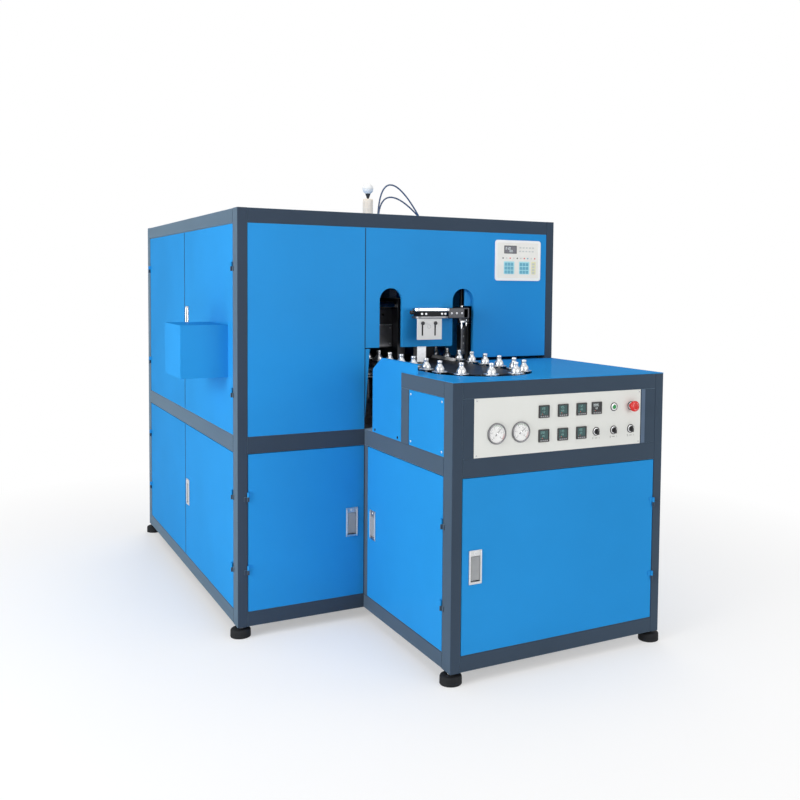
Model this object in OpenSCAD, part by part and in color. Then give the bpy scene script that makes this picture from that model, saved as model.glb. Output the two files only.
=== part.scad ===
// Blow moulding machine: a tube-framed cabinet with a lower loading table in front.
// Millimetres. X runs along the front, Y into the depth, Z up; z = 0 is the floor.
// Inside the modules the cabinet's front left corner is at x = 0, y = 0.

/* [Cabinet] */
// Width of the cabinet
body_w = 1650; // [1600:10:1750]
// Depth of the cabinet
body_d = 2030; // [1950:10:2200]
// Height of the cabinet
body_h = 1900; // [1880:5:1960]
// Height of the frame's underside above the floor
foot_h = 50; // [45:1:60]
// Diameter of a levelling foot's pad
foot_pad_d = 90; // [70:1:100]
// Diameter of a levelling foot's stud
stud_d = 16; // [12:1:20]

/* [Frame tube] */
// Width of a post, along the front
post_w = 45; // [40:1:50]
// Depth of a post, along the side
post_d = 75; // [65:1:80]
// Height of the top rails
top_rail_h = 65; // [60:1:70]
// Height of the middle rails
mid_rail_h = 75; // [65:1:80]
// Height of the base rails
base_rail_h = 65; // [60:1:75]
// Height of the middle rails' underside above the floor
mid_z = 822; // [800:1:840]
// Thickness of the rails
rail_t = 45; // [40:1:50]
// Wall of the frame tube
tube_wall = 3; // [2:0.5:4]
// Root gap left in each welded joint
weld_gap = 0.2; // [0.1:0.1:0.4]

/* [Loading table] */
// Distance of the table's left side from the cabinet's left side
table_x = 600; // [590:5:610]
// Depth of the table in front of the cabinet
table_d = 860; // [840:5:900]
// Height of the table top
table_h = 1200; // [1195:1:1215]
// Thickness of the table top's sheet
top_t = 3; // [2:0.5:4]
// Width of the upright between the two side panels
mid_post_w = 75; // [60:1:80]
// Distance of that upright's near face from the cabinet's front
mid_post_y = 469; // [455:1:480]

/* [Panels and doors] */
// Thickness of panel and door sheet
sheet_t = 1.5; // [1.2:0.1:2]
// Depth of the folded edges
fold_d = 20; // [15:1:25]
// Edge gap of a fixed panel
panel_gap = 0.8; // [0.5:0.1:0.9]
// Edge gap of a door
door_gap = 2.5; // [2:0.1:4]
// How far the faces sit behind the frame's face
face_recess = 1; // [0.5:0.1:2]
// Barrel diameter of a door hinge
hinge_d = 10; // [8:0.5:12]
// Pin diameter of a door hinge
hinge_pin_d = 5; // [4:0.5:6]
// Length of one hinge barrel
barrel_l = 20; // [15:1:30]
// Distance of the hinges from a door's top and bottom
hinge_inset = 170; // [120:5:200]
// Clearance of a pin in its bore, on the radius
running_fit = 0.05; // [0.03:0.01:0.09]
// Width of a latch plate
latch_w = 58; // [54:1:64]
// Height of a latch plate
latch_h = 135; // [120:1:150]
// Distance of a latch's middle from its door's free edge
latch_inset = 62; // [50:1:75]
// Height of the lower latches above the floor
latch_z = 465; // [400:5:600]
// Height of the upper latch above the floor
upper_latch_z = 1378; // [1300:1:1450]

/* [Slots in the front panel] */
// Width of an arched slot
slot_w = 118; // [110:1:130]
// Height of the arches' crowns
slot_top_z = 1555; // [1500:5:1600]
// Height of the infeed opening's upper edge
infeed_z = 1276; // [1265:1:1290]
// Gap between the panel and the table top
table_gap = 15; // [10:1:20]

/* [Preform chain] */
// Teeth of a chain wheel
teeth = 48; // [48:12:48]
// Pitch of the chain
pitch = 25.4; // [25.4:0.1:25.6]
// Links along one straight run
run_links = 66; // [61:5:66]
// Links from one preform holder to the next
holder_links = 5; // [5:5:5]
// Middle of the loop, from the cabinet's left side
loop_x = 926; // [922:1:932]
// Links from the front turn to the first cavity
cavity_links = 30; // [30:1:30]
// Diameter of a chain roller
roller_d = 16; // [14:0.5:17]
// Thickness of a link plate
plate_t = 3; // [2.5:0.1:3]
// Width of a link plate
plate_w = 20; // [18:1:22]
// Height of the chain's underside above the floor
chain_z = 1166; // [1164:1:1170]
// Diameter of a preform holder's flange
flange_d = 66; // [60:1:68]
// Height of a preform holder above the table top
holder_h = 55; // [50:1:58]
// Clear space on each side of the holders' flanges
slot_clear = 3; // [2:0.5:5]

/* [Clamp] */
// Distance of the clamp's axis from the cabinet's front
clamp_y = 330; // [325:1:335]
// Height of the clamp's axis
clamp_z = 1300; // [1295:1:1305]
// Half the height of a platen
platen_half_h = 205; // [200:1:210]
// Width of a platen
platen_w = 380; // [370:1:390]
// Thickness of a platen
platen_t = 40; // [30:1:50]
// Thickness of one mould half
mould_t = 100; // [90:1:105]
// Width of a mould half
mould_w = 250; // [240:1:256]
// Height of a mould half
mould_h = 200; // [180:1:200]
// Height of the mould's underside
mould_z = 1262; // [1260:1:1266]
// Opening stroke of the clamp
clamp_stroke = 110; // [90:1:120]
// Diameter of a tie bar
tie_d = 36; // [32:1:38]
// Distance of the tail platen from the cabinet's left side
tail_x = 130; // [120:1:150]
// Bore of the clamp cylinder's tube
clamp_tube_d = 125; // [110:1:128]
// Distance of the clamp cylinder's end outside the cabinet
clamp_reach = 180; // [150:1:190]
// Thickness of the machine bed
bed_t = 20; // [15:1:25]

/* [Cylinder cover] */
// How far the cover stands out of the door
cover_out = 209; // [200:1:230]
// Width of the cover
cover_w = 320; // [310:1:330]
// Height of the cover
cover_h = 236; // [232:1:260]
// Height of the cover's underside above the floor
cover_z = 1148; // [1140:1:1150]

/* [Lifting arm] */
// Diameter of the guide rod
guide_d = 18; // [14:1:22]
// Distance of the column from the cabinet's front
column_y = 100; // [95:1:110]
// Height of the arm's underside at rest
arm_z = 1412; // [1405:1:1420]
// Height of the arm
arm_h = 50; // [40:1:55]
// Lift of the arm
arm_lift = 60; // [40:5:60]

/* [Instruments] */
// Distance of the instrument panel from the table's right side
inst_right = 125; // [115:5:135]
// Distance of the instrument panel from the table's left side
inst_x = 95; // [90:1:100]
// Diameter of a gauge
gauge_d = 80; // [70:1:90]
// Size of a panel meter
meter_w = 48; // [46:1:50]
// Diameter of a switch collar
collar_d = 30; // [28:1:32]
// Diameter of the stop button
stop_d = 40; // [35:1:45]
// How far the stop button stands out
stop_out = 32; // [28:1:36]
// Thickness of the instrument panel
inst_t = 3; // [2:0.5:4]
// Width of the keypad
keypad_w = 270; // [250:5:290]
// Height of the keypad
keypad_h = 203; // [190:1:220]

/* [Hidden] */
$fn = 48;
eps = 0.01;
fit = 0.3;
blue = [0.15, 0.54, 0.84];
frame_grey = [0.25, 0.29, 0.34];
steel = [0.66, 0.67, 0.69];
black = [0.07, 0.07, 0.08];
pale = [0.87, 0.87, 0.85];
white = [0.95, 0.95, 0.95];
red = [0.85, 0.1, 0.08];
green = [0.1, 0.6, 0.2];
sand = [0.86, 0.8, 0.66];

front_reach = table_d + stop_out;
foot_over_x = max(0, (foot_pad_d - post_w) / 2);
foot_over_y = max(0, (foot_pad_d - post_d) / 2);
centre_x = (body_w + foot_over_x - cover_out) / 2;
centre_y = (body_d + foot_over_y - front_reach) / 2;

mid_top = mid_z + mid_rail_h;
top_z = body_h - top_rail_h;
base_top = foot_h + base_rail_h;
table_w = body_w - table_x;
table_top_z = table_h - top_t;
table_rail_z = table_top_z - top_rail_h;
side_len = body_d - 2 * post_d;
front_len = body_w - 2 * post_w;
table_side_len = table_d - post_d;
door_mid_y = body_d / 2;

loop_r = pitch / (2 * sin(180 / teeth));
half_turn = teeth / 2;
links = 2 * run_links + 2 * half_turn;
row_l = loop_x - loop_r;
row_r = loop_x + loop_r;
cavity_pitch = holder_links * pitch;
turn_y = clamp_y - cavity_pitch / 2 - cavity_links * pitch;
rear_y = turn_y + run_links * pitch;
slot_half = flange_d / 2 + slot_clear;
roller_h = 12;
plate_gap = 0.3;
inner_z = chain_z + plate_t + plate_gap;
roller_z = inner_z + plate_t;
inner_top_z = roller_z + roller_h;
chain_top = inner_top_z + 2 * plate_t + plate_gap;
pin_d = 12;
stem_bore = pin_d + 0.1;
wheel_t = 9;
wheel_z = roller_z + (roller_h - wheel_t) / 2;
shaft_d = 30;
rail_w = 50;
rail_h = 12;
rail_z = chain_z - fit - rail_h;
trestle_h = 24;
trestle_w = 45;
trestle_z = rail_z - trestle_h;
bed_z = mid_top;
bed_top = bed_z + bed_t;
bed_y = fold_d + 4;
bed_end_y = 645;
plate_half = loop_r - slot_half;

split_x = row_l;
fixed_x = split_x + mould_t;
moving_x = split_x - clamp_stroke - mould_t - platen_t + fit;
tie_y = mould_w / 2 + 30;
tie_z = platen_half_h - 35;
cap_w = 140;
cap_t = 25;
cover_y = clamp_y - cover_w / 2 - 8;
tail_end_x = tail_x + platen_t;
rod_d = 50;
neck_d = 27;
bottle_d = 64;
bracket_x = split_x - 82;
base_plate_z = clamp_z + platen_half_h + 135;
plug_rest_z = mould_z + mould_h + 60;
plug_drop = 95;
rod_bore = 9.2;
stretch_d = 8;
stretch_lift = 180;
stretch_z = 660;
nozzle_z = 1010;
oven_y = 240;
oven_len = 800;
oven_x = row_r - 120;
oven_w = 340;
oven_z = table_h + 8;
oven_h = 392;
guide_x = row_r + 45;
lift_x = guide_x + 35;
guide_top_z = slot_top_z + 95;
arm_reach_y = -60;
arm_bar_x = guide_x - 75;
arm_bar_w = 30;
ring_x = 913;
ring_w = 190;
ring_t = 14;
ring_d = 85;
ring_z = arm_z + arm_h - ring_t;
ring_y = arm_reach_y - 30;
grip_h = 24;
lip_t = 10;
lip_z = ring_z - grip_h - lip_t;
inst_w = table_w - inst_x - inst_right;
inst_x0 = table_x + inst_x;
inst_z0 = mid_top;
inst_h = table_rail_z - mid_top;
inst_step = inst_w / 83;
gauge_x = inst_x0 + 10.3 * inst_step;
gauge_pitch = 11.3 * inst_step;
meter_x = inst_x0 + 32.7 * inst_step;
meter_pitch = 9.4 * inst_step;
switch_x = inst_x0 + 59.3 * inst_step;
switch_pitch = 9.2 * inst_step;
row_top_z = inst_z0 + 167;
row_low_z = inst_z0 + 68;
gauge_z = inst_z0 + 91;
keypad_edge = 37;
keypad_x = body_w - post_w - keypad_edge - keypad_w;
keypad_z = 1597;

// Moves a sub-part from the cabinet's corner to the origin, under the middle of the machine
module placed() {
    translate([-centre_x, -centre_y, 0]) children();
}

// Faces of the cabinet seen from outside: local x runs to the right, y goes inwards
module on_left(y, z) {
    translate([0, y, z]) rotate([0, 0, -90]) children();
}
module on_front(x, z) {
    translate([x, 0, z]) children();
}

// Rectangular tubes along each axis; a post is closed at both ends
module tube_x(x0, y, z, l, d, h) {
    translate([x0 + weld_gap, y, z]) difference() {
        cube([l - 2 * weld_gap, d, h]);
        translate([-1, tube_wall, tube_wall])
            cube([l + 2, d - 2 * tube_wall, h - 2 * tube_wall]);
    }
}
module tube_y(x, y0, z, l, w, h) {
    translate([x, y0 + weld_gap, z]) difference() {
        cube([w, l - 2 * weld_gap, h]);
        translate([tube_wall, -1, tube_wall])
            cube([w - 2 * tube_wall, l + 2, h - 2 * tube_wall]);
    }
}
module post(x, y, z0, z1, w, d, stud = false) {
    translate([x, y, z0]) difference() {
        cube([w, d, z1 - z0]);
        translate([tube_wall, tube_wall, tube_wall])
            cube([w - 2 * tube_wall, d - 2 * tube_wall, z1 - z0 - 2 * tube_wall]);
        if (stud)
            translate([w / 2, d / 2, -1]) cylinder(d = stud_d + 2 * fit, h = tube_wall + 2);
    }
}

// The main cabinet's frame
module main_frame() {
    placed() color(frame_grey) {
        for (x = [0, body_w - post_w], y = [0, body_d - post_d])
            post(x, y, foot_h, body_h, post_w, post_d, true);
        for (z = [[foot_h, base_rail_h], [mid_z, mid_rail_h], [top_z, top_rail_h]]) {
            for (y = [0, body_d - rail_t])
                tube_x(post_w, y, z[0], front_len, rail_t, z[1]);
            for (x = [0, body_w - rail_t])
                tube_y(x, post_d, z[0], side_len, rail_t, z[1]);
        }
        post(table_x, 0, base_top + weld_gap, mid_z - weld_gap, post_w, rail_t);
        for (y = [bed_end_y - rail_t, rear_y - trestle_w / 2])
            tube_x(rail_t, y, mid_z, body_w - 2 * rail_t, rail_t, mid_rail_h);
    }
}

// The table's frame, welded against the cabinet's front rails
module table_frame() {
    right_x = body_w - post_w;
    placed() color(frame_grey) {
        for (x = [table_x, right_x])
            post(x, -table_d, foot_h, table_top_z, post_w, post_d, true);
        for (z = [[foot_h, base_rail_h], [mid_z, mid_rail_h], [table_rail_z, top_rail_h]]) {
            tube_x(table_x + post_w, -table_d, z[0], table_w - 2 * post_w, rail_t, z[1]);
            tube_y(body_w - rail_t, -table_side_len, z[0], table_side_len, rail_t, z[1]);
        }
        for (z = [[foot_h, base_rail_h], [mid_z, mid_rail_h]])
            tube_y(table_x, -table_side_len, z[0], table_side_len, rail_t, z[1]);
        tube_y(table_x, -table_side_len, table_rail_z, table_side_len - mid_post_y + mid_post_w,
            rail_t, top_rail_h);
        post(table_x, -mid_post_y, mid_top + weld_gap, table_rail_z - weld_gap, rail_t, mid_post_w);
        tube_x(table_x + rail_t, turn_y - rail_t / 2, mid_z, table_w - 2 * rail_t, rail_t,
            mid_rail_h);
        for (s = [[table_x + post_w + weld_gap, inst_x - post_w - 2 * weld_gap],
                  [table_x + inst_x + inst_w + weld_gap,
                   table_w - inst_x - inst_w - post_w - 2 * weld_gap]])
            translate([s[0], -table_d + face_recess, inst_z0 + weld_gap])
                cube([s[1], inst_t, inst_h - 2 * weld_gap]);
    }
}

// Pad, nut and stud of one levelling foot
module foot() {
    nut_h = 13;
    pad_h = 14;
    rotate_extrude() polygon([[0, 0], [foot_pad_d / 2 - 3, 0], [foot_pad_d / 2, 3],
        [foot_pad_d / 2, pad_h - 4], [foot_pad_d / 2 - 8, pad_h], [0, pad_h]]);
    cylinder(d = stud_d + 12, h = pad_h + 6);
    cylinder(d = stud_d, h = foot_h + tube_wall + 25);
    translate([0, 0, foot_h - nut_h]) cylinder(d = stud_d * 1.9, h = nut_h, $fn = 6);
}

// One foot under each corner post
module levelling_feet() {
    placed() color(black) {
        for (x = [post_w / 2, body_w - post_w / 2], y = [post_d / 2, body_d - post_d / 2])
            translate([x, y, 0]) foot();
        for (x = [table_x + post_w / 2, body_w - post_w / 2])
            translate([x, -table_d + post_d / 2, 0]) foot();
    }
}

// A folded tray: a flat skin with returned edges, open at the back
module tray(w, h) {
    difference() {
        cube([w, fold_d, h]);
        translate([sheet_t, sheet_t, sheet_t])
            cube([w - 2 * sheet_t, fold_d, h - 2 * sheet_t]);
    }
}

// A tray that fills an opening, with an even gap round it
module filler(w, h, gap) {
    translate([gap, face_recess, gap]) tray(w - 2 * gap, h - 2 * gap);
}

// The roof sheet, folded down inside the top rails
module roof_panel() {
    placed() color(blue) difference() {
        translate([rail_t + panel_gap, rail_t + panel_gap, body_h - fold_d])
            cube([body_w - 2 * (rail_t + panel_gap), body_d - 2 * (rail_t + panel_gap),
                fold_d - face_recess]);
        translate([rail_t + panel_gap + sheet_t, rail_t + panel_gap + sheet_t,
                body_h - fold_d - 1])
            cube([body_w - 2 * (rail_t + panel_gap + sheet_t),
                body_d - 2 * (rail_t + panel_gap + sheet_t),
                fold_d - face_recess - sheet_t + 1]);
        for (x = [0, body_w - post_w], y = [0, body_d - post_d])
            translate([x - panel_gap, y - panel_gap, body_h - fold_d - 1])
                cube([post_w + 2 * panel_gap, post_d + 2 * panel_gap, fold_d + 2]);
        for (p = roof_holes)
            translate([p[0], p[1], body_h - fold_d])
                cylinder(d = p[2] + 2 * fit, h = fold_d);
    }
}

// Fixed panels that are screwed into the frame's openings
module fixed_panels() {
    lip = 24;
    placed() color(blue) {
        on_front(post_w, mid_top) filler(table_x - post_w, upper_h, panel_gap);
        translate([0, face_recess + sheet_t, 0]) rotate([90, 0, 0]) linear_extrude(sheet_t)
            polygon([[table_x - 5, mid_top + panel_gap], [table_x - panel_gap, mid_top + panel_gap],
                [table_x + lip, infeed_z - 5], [table_x - 5, infeed_z - 5]]);
        for (z = [[base_top, lower_h], [mid_top, upper_h]]) {
            translate([body_w, post_d, z[0]]) rotate([0, 0, 90])
                filler(side_len, z[1], panel_gap);
            translate([body_w - post_w, body_d, z[0]]) rotate([0, 0, 180])
                filler(front_len, z[1], panel_gap);
        }
        for (z = [[base_top, lower_h], [mid_top, table_rail_z - mid_top]])
            translate([body_w, -table_side_len, z[0]]) rotate([0, 0, 90])
                filler(table_side_len, z[1], panel_gap);
        on_side(-mid_post_y, mid_top)
            filler(table_side_len - mid_post_y, table_rail_z - mid_top, panel_gap);
    }
}

// The table's left side seen from outside
module on_side(y, z) {
    translate([table_x, y, z]) rotate([0, 0, -90]) children();
}

// Outline of one arched slot, open downwards
module arch(x, bottom) {
    r = slot_w / 2;
    translate([x, slot_top_z - r]) circle(r = r);
    translate([x - r, bottom]) square([slot_w, slot_top_z - r - bottom]);
}

// The front panel over the table
module slotted_panel() {
    right = body_w - post_w - panel_gap;
    low = table_h + table_gap;
    placed() color(blue) translate([0, fold_d + face_recess, 0]) rotate([90, 0, 0]) {
        translate([0, 0, fold_d - sheet_t]) linear_extrude(sheet_t) slotted_outline(right, low);
        linear_extrude(fold_d - sheet_t / 2) difference() {
            slotted_outline(right, low);
            translate([table_x + panel_gap + sheet_t, infeed_z + sheet_t])
                square([row_l - slot_w / 2 - table_x - panel_gap - 2 * sheet_t,
                    top_z - infeed_z - panel_gap - 2 * sheet_t]);
            translate([row_l + slot_w / 2 + sheet_t, infeed_z + sheet_t])
                square([row_r - row_l - slot_w - 2 * sheet_t,
                    top_z - infeed_z - panel_gap - 2 * sheet_t]);
            translate([row_r + slot_w / 2 + sheet_t, low + sheet_t])
                square([right - row_r - slot_w / 2 - 2 * sheet_t,
                    top_z - low - panel_gap - 2 * sheet_t]);
            for (x = [row_l, row_r])
                translate([x - slot_w / 2 - sheet_t, slot_top_z + sheet_t])
                    square([slot_w + 3 * sheet_t, top_z - slot_top_z - panel_gap - 2 * sheet_t]);
        }
    }
}
module slotted_outline(right, low) {
    left = table_x + panel_gap;
    difference() {
        translate([left, low]) square([right - left, top_z - panel_gap - low]);
        translate([left - 1, low - 1]) square([row_r + slot_w / 2 - left + 1, infeed_z - low + 1]);
        arch(row_l, low - 1);
        arch(row_r, low - 1);
    }
}

// Outline of a band along the chain's loop, given by its distance from the loop's middle
module loop_outline(r, y0, y1) {
    translate([loop_x, y0]) circle(r = r);
    translate([loop_x, y1]) circle(r = r);
    translate([loop_x - r, y0]) square([2 * r, y1 - y0]);
}

// The table top with its slot for the holders
module table_top() {
    notch = 190;
    placed() color(blue) translate([0, 0, table_top_z]) linear_extrude(top_t) difference() {
        translate([table_x, -table_d]) square([table_w, table_d - panel_gap]);
        loop_outline(loop_r + slot_half, turn_y, rear_y);
        translate([table_x - 1, -notch]) square([row_l - table_x, notch]);
        translate([table_x - 1, -mid_post_y + mid_post_w]) square([1 + sheet_t + fit, mid_post_y]);
    }
}

// The black plate inside the loop, on a spine that the trestles carry
module centre_plate() {
    spine_w = 40;
    spine_y0 = turn_y + loop_r + 12;
    placed() color(black) {
        translate([0, 0, table_top_z]) linear_extrude(top_t) difference() {
            loop_outline(plate_half, turn_y, rear_y);
            translate([fixed_x - 4, clamp_y - platen_w / 2 - 4])
                square([platen_t + 8, platen_w + 8]);
        }
        translate([loop_x - spine_w / 2, spine_y0, rail_z])
            cube([spine_w, rear_y - loop_r - 12 - spine_y0, table_top_z - rail_z]);
        translate([883, fold_d + 6, table_h - eps]) cube([48, 40, infeed_z + 14 - table_h]);
    }
}

// The raised guard beside the left row of holders
module side_cover() {
    guard_top = table_h + 43;
    rear = -90;
    raised_end = -550;
    chamfer = 95;
    drop = 57;
    edge = -mid_post_y + mid_post_w + panel_gap;
    placed() color(blue) {
        translate([table_x, 0, 0]) rotate([90, 0, 90]) linear_extrude(sheet_t)
            polygon([[rear, mid_top + panel_gap], [rear, guard_top - drop],
                [rear - chamfer, guard_top], [raised_end, guard_top],
                [raised_end, table_h + panel_gap / 2], [edge, table_h + panel_gap / 2],
                [edge, mid_top + panel_gap]]);
        translate([table_x, rear - sheet_t, mid_top + panel_gap])
            cube([fold_d, sheet_t, guard_top - drop - mid_top - panel_gap]);
        translate([table_x, edge, mid_top + panel_gap])
            cube([fold_d, rear - edge, sheet_t]);
        translate([table_x, edge, mid_top + panel_gap])
            cube([fold_d, sheet_t, table_rail_z - mid_top - 2 * panel_gap]);
        translate([table_x, raised_end, guard_top - sheet_t])
            cube([fold_d, rear - chamfer - raised_end, sheet_t]);
    }
}

// The instrument panel with its holes
module instrument_panel() {
    placed() color(pale) on_table_front(table_x + inst_x, inst_z0) difference() {
        translate([weld_gap, 0, weld_gap])
            cube([inst_w - 2 * weld_gap, inst_t, inst_h - 2 * weld_gap]);
        translate([-table_x - inst_x, 0, -inst_z0]) {
            for (i = [0, 1])
                drill(gauge_x + i * gauge_pitch, gauge_z, gauge_d - 6);
            for (p = meter_places)
                translate([p[0] - meter_w / 2 + 2, -1, p[1] - meter_w / 2 + 2])
                    cube([meter_w - 4, inst_t + 2, meter_w - 4]);
            for (p = switch_places)
                drill(p[0], p[1], 22);
        }
    }
}
module on_table_front(x, z) {
    translate([x, -table_d + face_recess, z]) children();
}
module drill(x, z, d) {
    translate([x, -1, z]) rotate([-90, 0, 0]) cylinder(d = d, h = inst_t + 2);
}
meter_places = concat([for (i = [0:2]) [meter_x + i * meter_pitch, row_top_z]],
    [for (i = [0:2]) [meter_x + i * meter_pitch, row_low_z]], [[switch_x, row_top_z]]);
switch_places = [[switch_x, row_low_z], [switch_x + switch_pitch, row_low_z],
    [switch_x + 2 * switch_pitch, row_low_z], [switch_x + 2 * switch_pitch, row_top_z],
    [switch_x + switch_pitch, row_top_z]];
roof_holes = [[split_x + 20, clamp_y, 20], [803, 322, 14], [815, 342, 14], [1039, 322, 14],
    [1051, 342, 14]];

// Two dial gauges: bezel, dial, needle and case
module pressure_gauges() {
    bezel = 9;
    placed() color(steel) for (i = [0, 1])
        on_table_front(gauge_x + i * gauge_pitch, gauge_z) rotate([90, 0, 0]) {
            rotate_extrude() polygon([[0, 0], [gauge_d / 2, 0], [gauge_d / 2, bezel - 2],
                [gauge_d / 2 - 2, bezel], [gauge_d / 2 - 4, bezel - 1], [gauge_d / 2 - 5, 5],
                [0, 5]]);
            translate([0, 0, -32]) cylinder(d = gauge_d - 6 - 2 * fit, h = 32 + eps);
            translate([0, 0, -50]) cylinder(d = 14, h = 20);
            cylinder(d = 7, h = 7);
            rotate([0, 0, 140]) translate([-1, -8, 5]) cube([2, 36, 1.2]);
        }
}

// Seven panel meters: six controllers and a timer
module panel_meters() {
    depth = 78;
    placed() color(black) for (p = meter_places) on_table_front(p[0], p[1]) {
        difference() {
            translate([-meter_w / 2, -5, -meter_w / 2]) cube([meter_w, 5, meter_w]);
            translate([-meter_w / 2 + 3, -6, -meter_w / 2 + 3])
                cube([meter_w - 6, 2.2, meter_w - 6]);
        }
        translate([-meter_w / 2 + 2.3, -eps, -meter_w / 2 + 2.3])
            cube([meter_w - 4.6, depth, meter_w - 4.6]);
        for (k = [0:3])
            translate([-17 + k * 9, -4.6, -meter_w / 2 + 6]) cube([7, 1.5, 4]);
    }
}

// Chromed collars of the switches and buttons, with their bodies behind the panel
module switch_collars() {
    bore = 22;
    placed() color(steel) for (p = switch_places) on_table_front(p[0], p[1]) rotate([90, 0, 0])
        difference() {
            union() {
                rotate_extrude() polygon([[0, 0], [collar_d / 2, 0], [collar_d / 2, 2.5],
                    [collar_d / 2 - 1.5, 4], [0, 4]]);
                translate([0, 0, -40]) cylinder(d = bore - 2 * fit, h = 40 + eps);
            }
            translate([0, 0, -12]) cylinder(d = 18, h = 20);
        }
}

// A rounded rectangle, made of exact arcs
module rounded(w, h, r) {
    for (x = [r, w - r], y = [r, h - r]) translate([x, y]) circle(r = r);
    translate([r, 0]) square([w - 2 * r, h]);
    translate([0, r]) square([w, h - 2 * r]);
}

// The keypad: rim, window and two blocks of keys
module keypad() {
    rim = 9;
    t = 5;
    key = 14;
    placed() color(pale) translate([keypad_x, face_recess, keypad_z]) rotate([90, 0, 0]) {
        difference() {
            linear_extrude(t) rounded(keypad_w, keypad_h, 14);
            translate([0, 0, t - 1.5]) linear_extrude(3) translate([rim, rim])
                rounded(keypad_w - 2 * rim, keypad_h - 2 * rim, 8);
        }
        translate([32, keypad_h - 66, t - 2]) cube([108, 36, 1.5]);
        for (bx = [46, 146], i = [0:2], j = [0:2])
            translate([bx + i * 21, 24 + j * 20, t - 2]) cube([key + 3, key, 1.8]);
    }
}

// Pan-head screws of the side cover and the side panel
module panel_screws() {
    y1 = -mid_post_y - 18;
    y0 = -table_side_len + 18;
    placed() color(steel) {
        for (p = [[-120, mid_top + 14, 0], [-360, mid_top + 14, 0],
                  [y1, mid_top + 18, face_recess], [y0, mid_top + 18, face_recess],
                  [y1, table_rail_z - 18, face_recess], [y0, table_rail_z - 18, face_recess]])
            translate([table_x + p[2], p[0], p[1]]) rotate([0, -90, 0])
                rotate_extrude() polygon([[0, 0], [5, 0], [5, 1], [3.5, 2.6], [0, 3]]);
    }
}

// Fixed half of a barrel hinge at the origin, for a door that lies towards +x
module hinge_fixed() {
    translate([0, -hinge_d / 2 - 0.2, 0]) {
        cylinder(d = hinge_d, h = barrel_l);
        cylinder(d = hinge_pin_d, h = 2 * barrel_l - 3);
    }
    translate([-18, -3, 0]) cube([17, 3, barrel_l]);
}
// Door half of the same hinge, above the fixed half
module hinge_door() {
    translate([0, 0, barrel_l + fit]) difference() {
        union() {
            translate([0, -hinge_d / 2 - 0.2, 0]) cylinder(d = hinge_d, h = barrel_l);
            translate([1.5, -3, 0]) cube([17, 3 + face_recess, barrel_l]);
        }
        translate([0, -hinge_d / 2 - 0.2, -1])
            cylinder(d = hinge_pin_d + 2 * running_fit, h = barrel_l - 1);
    }
}

// Places both hinges of a door that fills a w by h opening
module hinge_spots(w, h, right) {
    for (z = [hinge_inset, h - hinge_inset - 2 * barrel_l])
        translate([right ? w - door_gap / 2 : door_gap / 2, 0, z])
            mirror([right ? 1 : 0, 0, 0]) children();
}

// A door leaf in a w by h opening; its latch stands lx from the left and lz from the bottom
module leaf(w, h, right, lx, lz, latch = true, gap_l = door_gap, gap_r = door_gap) {
    pan_w = latch_w - 12;
    pan_h = latch_h - 14;
    difference() {
        union() {
            translate([gap_l, face_recess, door_gap]) tray(w - gap_l - gap_r, h - 2 * door_gap);
            hinge_spots(w, h, right) hinge_door();
            if (latch) translate([lx, face_recess, lz]) latch_housing(pan_w, pan_h);
        }
        if (latch) translate([lx, face_recess, lz]) latch_recess(pan_w, pan_h);
    }
}

// The latch's plate, rims and pan
module latch_housing(pan_w, pan_h) {
    translate([-latch_w / 2, -3, -latch_h / 2]) cube([latch_w, 3, latch_h]);
    for (s = [-1, 1])
        translate([s * (latch_w / 2 - 4) - 2, -4.5, -latch_h / 2]) cube([4, 3, latch_h]);
    translate([-pan_w / 2, -1, -pan_h / 2]) cube([pan_w, 17, pan_h]);
    translate([0, -3, latch_h / 2 - 12]) rotate([90, 0, 0]) cylinder(d = 12, h = 2.5);
}
module latch_recess(pan_w, pan_h) {
    wall = 2;
    translate([-pan_w / 2 + wall, -6, -pan_h / 2 + wall])
        cube([pan_w - 2 * wall, 20, pan_h - 2 * wall - 14]);
    translate([-pan_w / 2 + wall - 1.4, 6, -pan_h / 2 + wall + 7]) rotate([0, 90, 0])
        cylinder(d = 5 + 2 * running_fit, h = pan_w - 2 * wall + 2.8);
}

// The lever that swings out of a latch's pan, about the pin at its foot
module latch_lever() {
    pan_w = latch_w - 12;
    pan_h = latch_h - 14;
    wall = 2;
    inner = pan_w - 2 * wall;
    translate([0, face_recess, -pan_h / 2 + wall + 7]) {
        translate([-inner / 2 + 1, -3, 2]) cube([inner - 2, 4, pan_h - 2 * wall - 14 - 12]);
        translate([-inner / 2 + 1, -3, -1]) cube([inner - 2, 8, 3 + eps]);
        translate([-inner / 2 + 0.6, 6, 0]) rotate([0, 90, 0]) cylinder(d = 9, h = inner - 1.2);
        translate([-inner / 2 - 1.2, 6, 0]) rotate([0, 90, 0]) cylinder(d = 5, h = inner + 2.4);
    }
}

upper_h = top_z - mid_top;
lower_h = mid_z - base_top;
front_w = table_x - post_w;
table_front_w = table_w - 2 * post_w;
side_w = table_side_len;
near_w = door_mid_y - post_d;
far_w = body_d - post_d - door_mid_y;

// Fixed hinge halves of all the doors
module hinge_pins() {
    placed() color(steel) {
        on_front(post_w, base_top) hinge_spots(front_w, lower_h, false) hinge_fixed();
        translate([table_x + post_w, -table_d, base_top])
            hinge_spots(table_front_w, lower_h, true) hinge_fixed();
        on_side(0, base_top) hinge_spots(side_w, lower_h, true) hinge_fixed();
        for (z = [[base_top, lower_h], [mid_top, upper_h]]) {
            on_left(door_mid_y, z[0]) hinge_spots(near_w, z[1], true) hinge_fixed();
            on_left(body_d - post_d, z[0]) hinge_spots(far_w, z[1], false) hinge_fixed();
        }
    }
}

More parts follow.
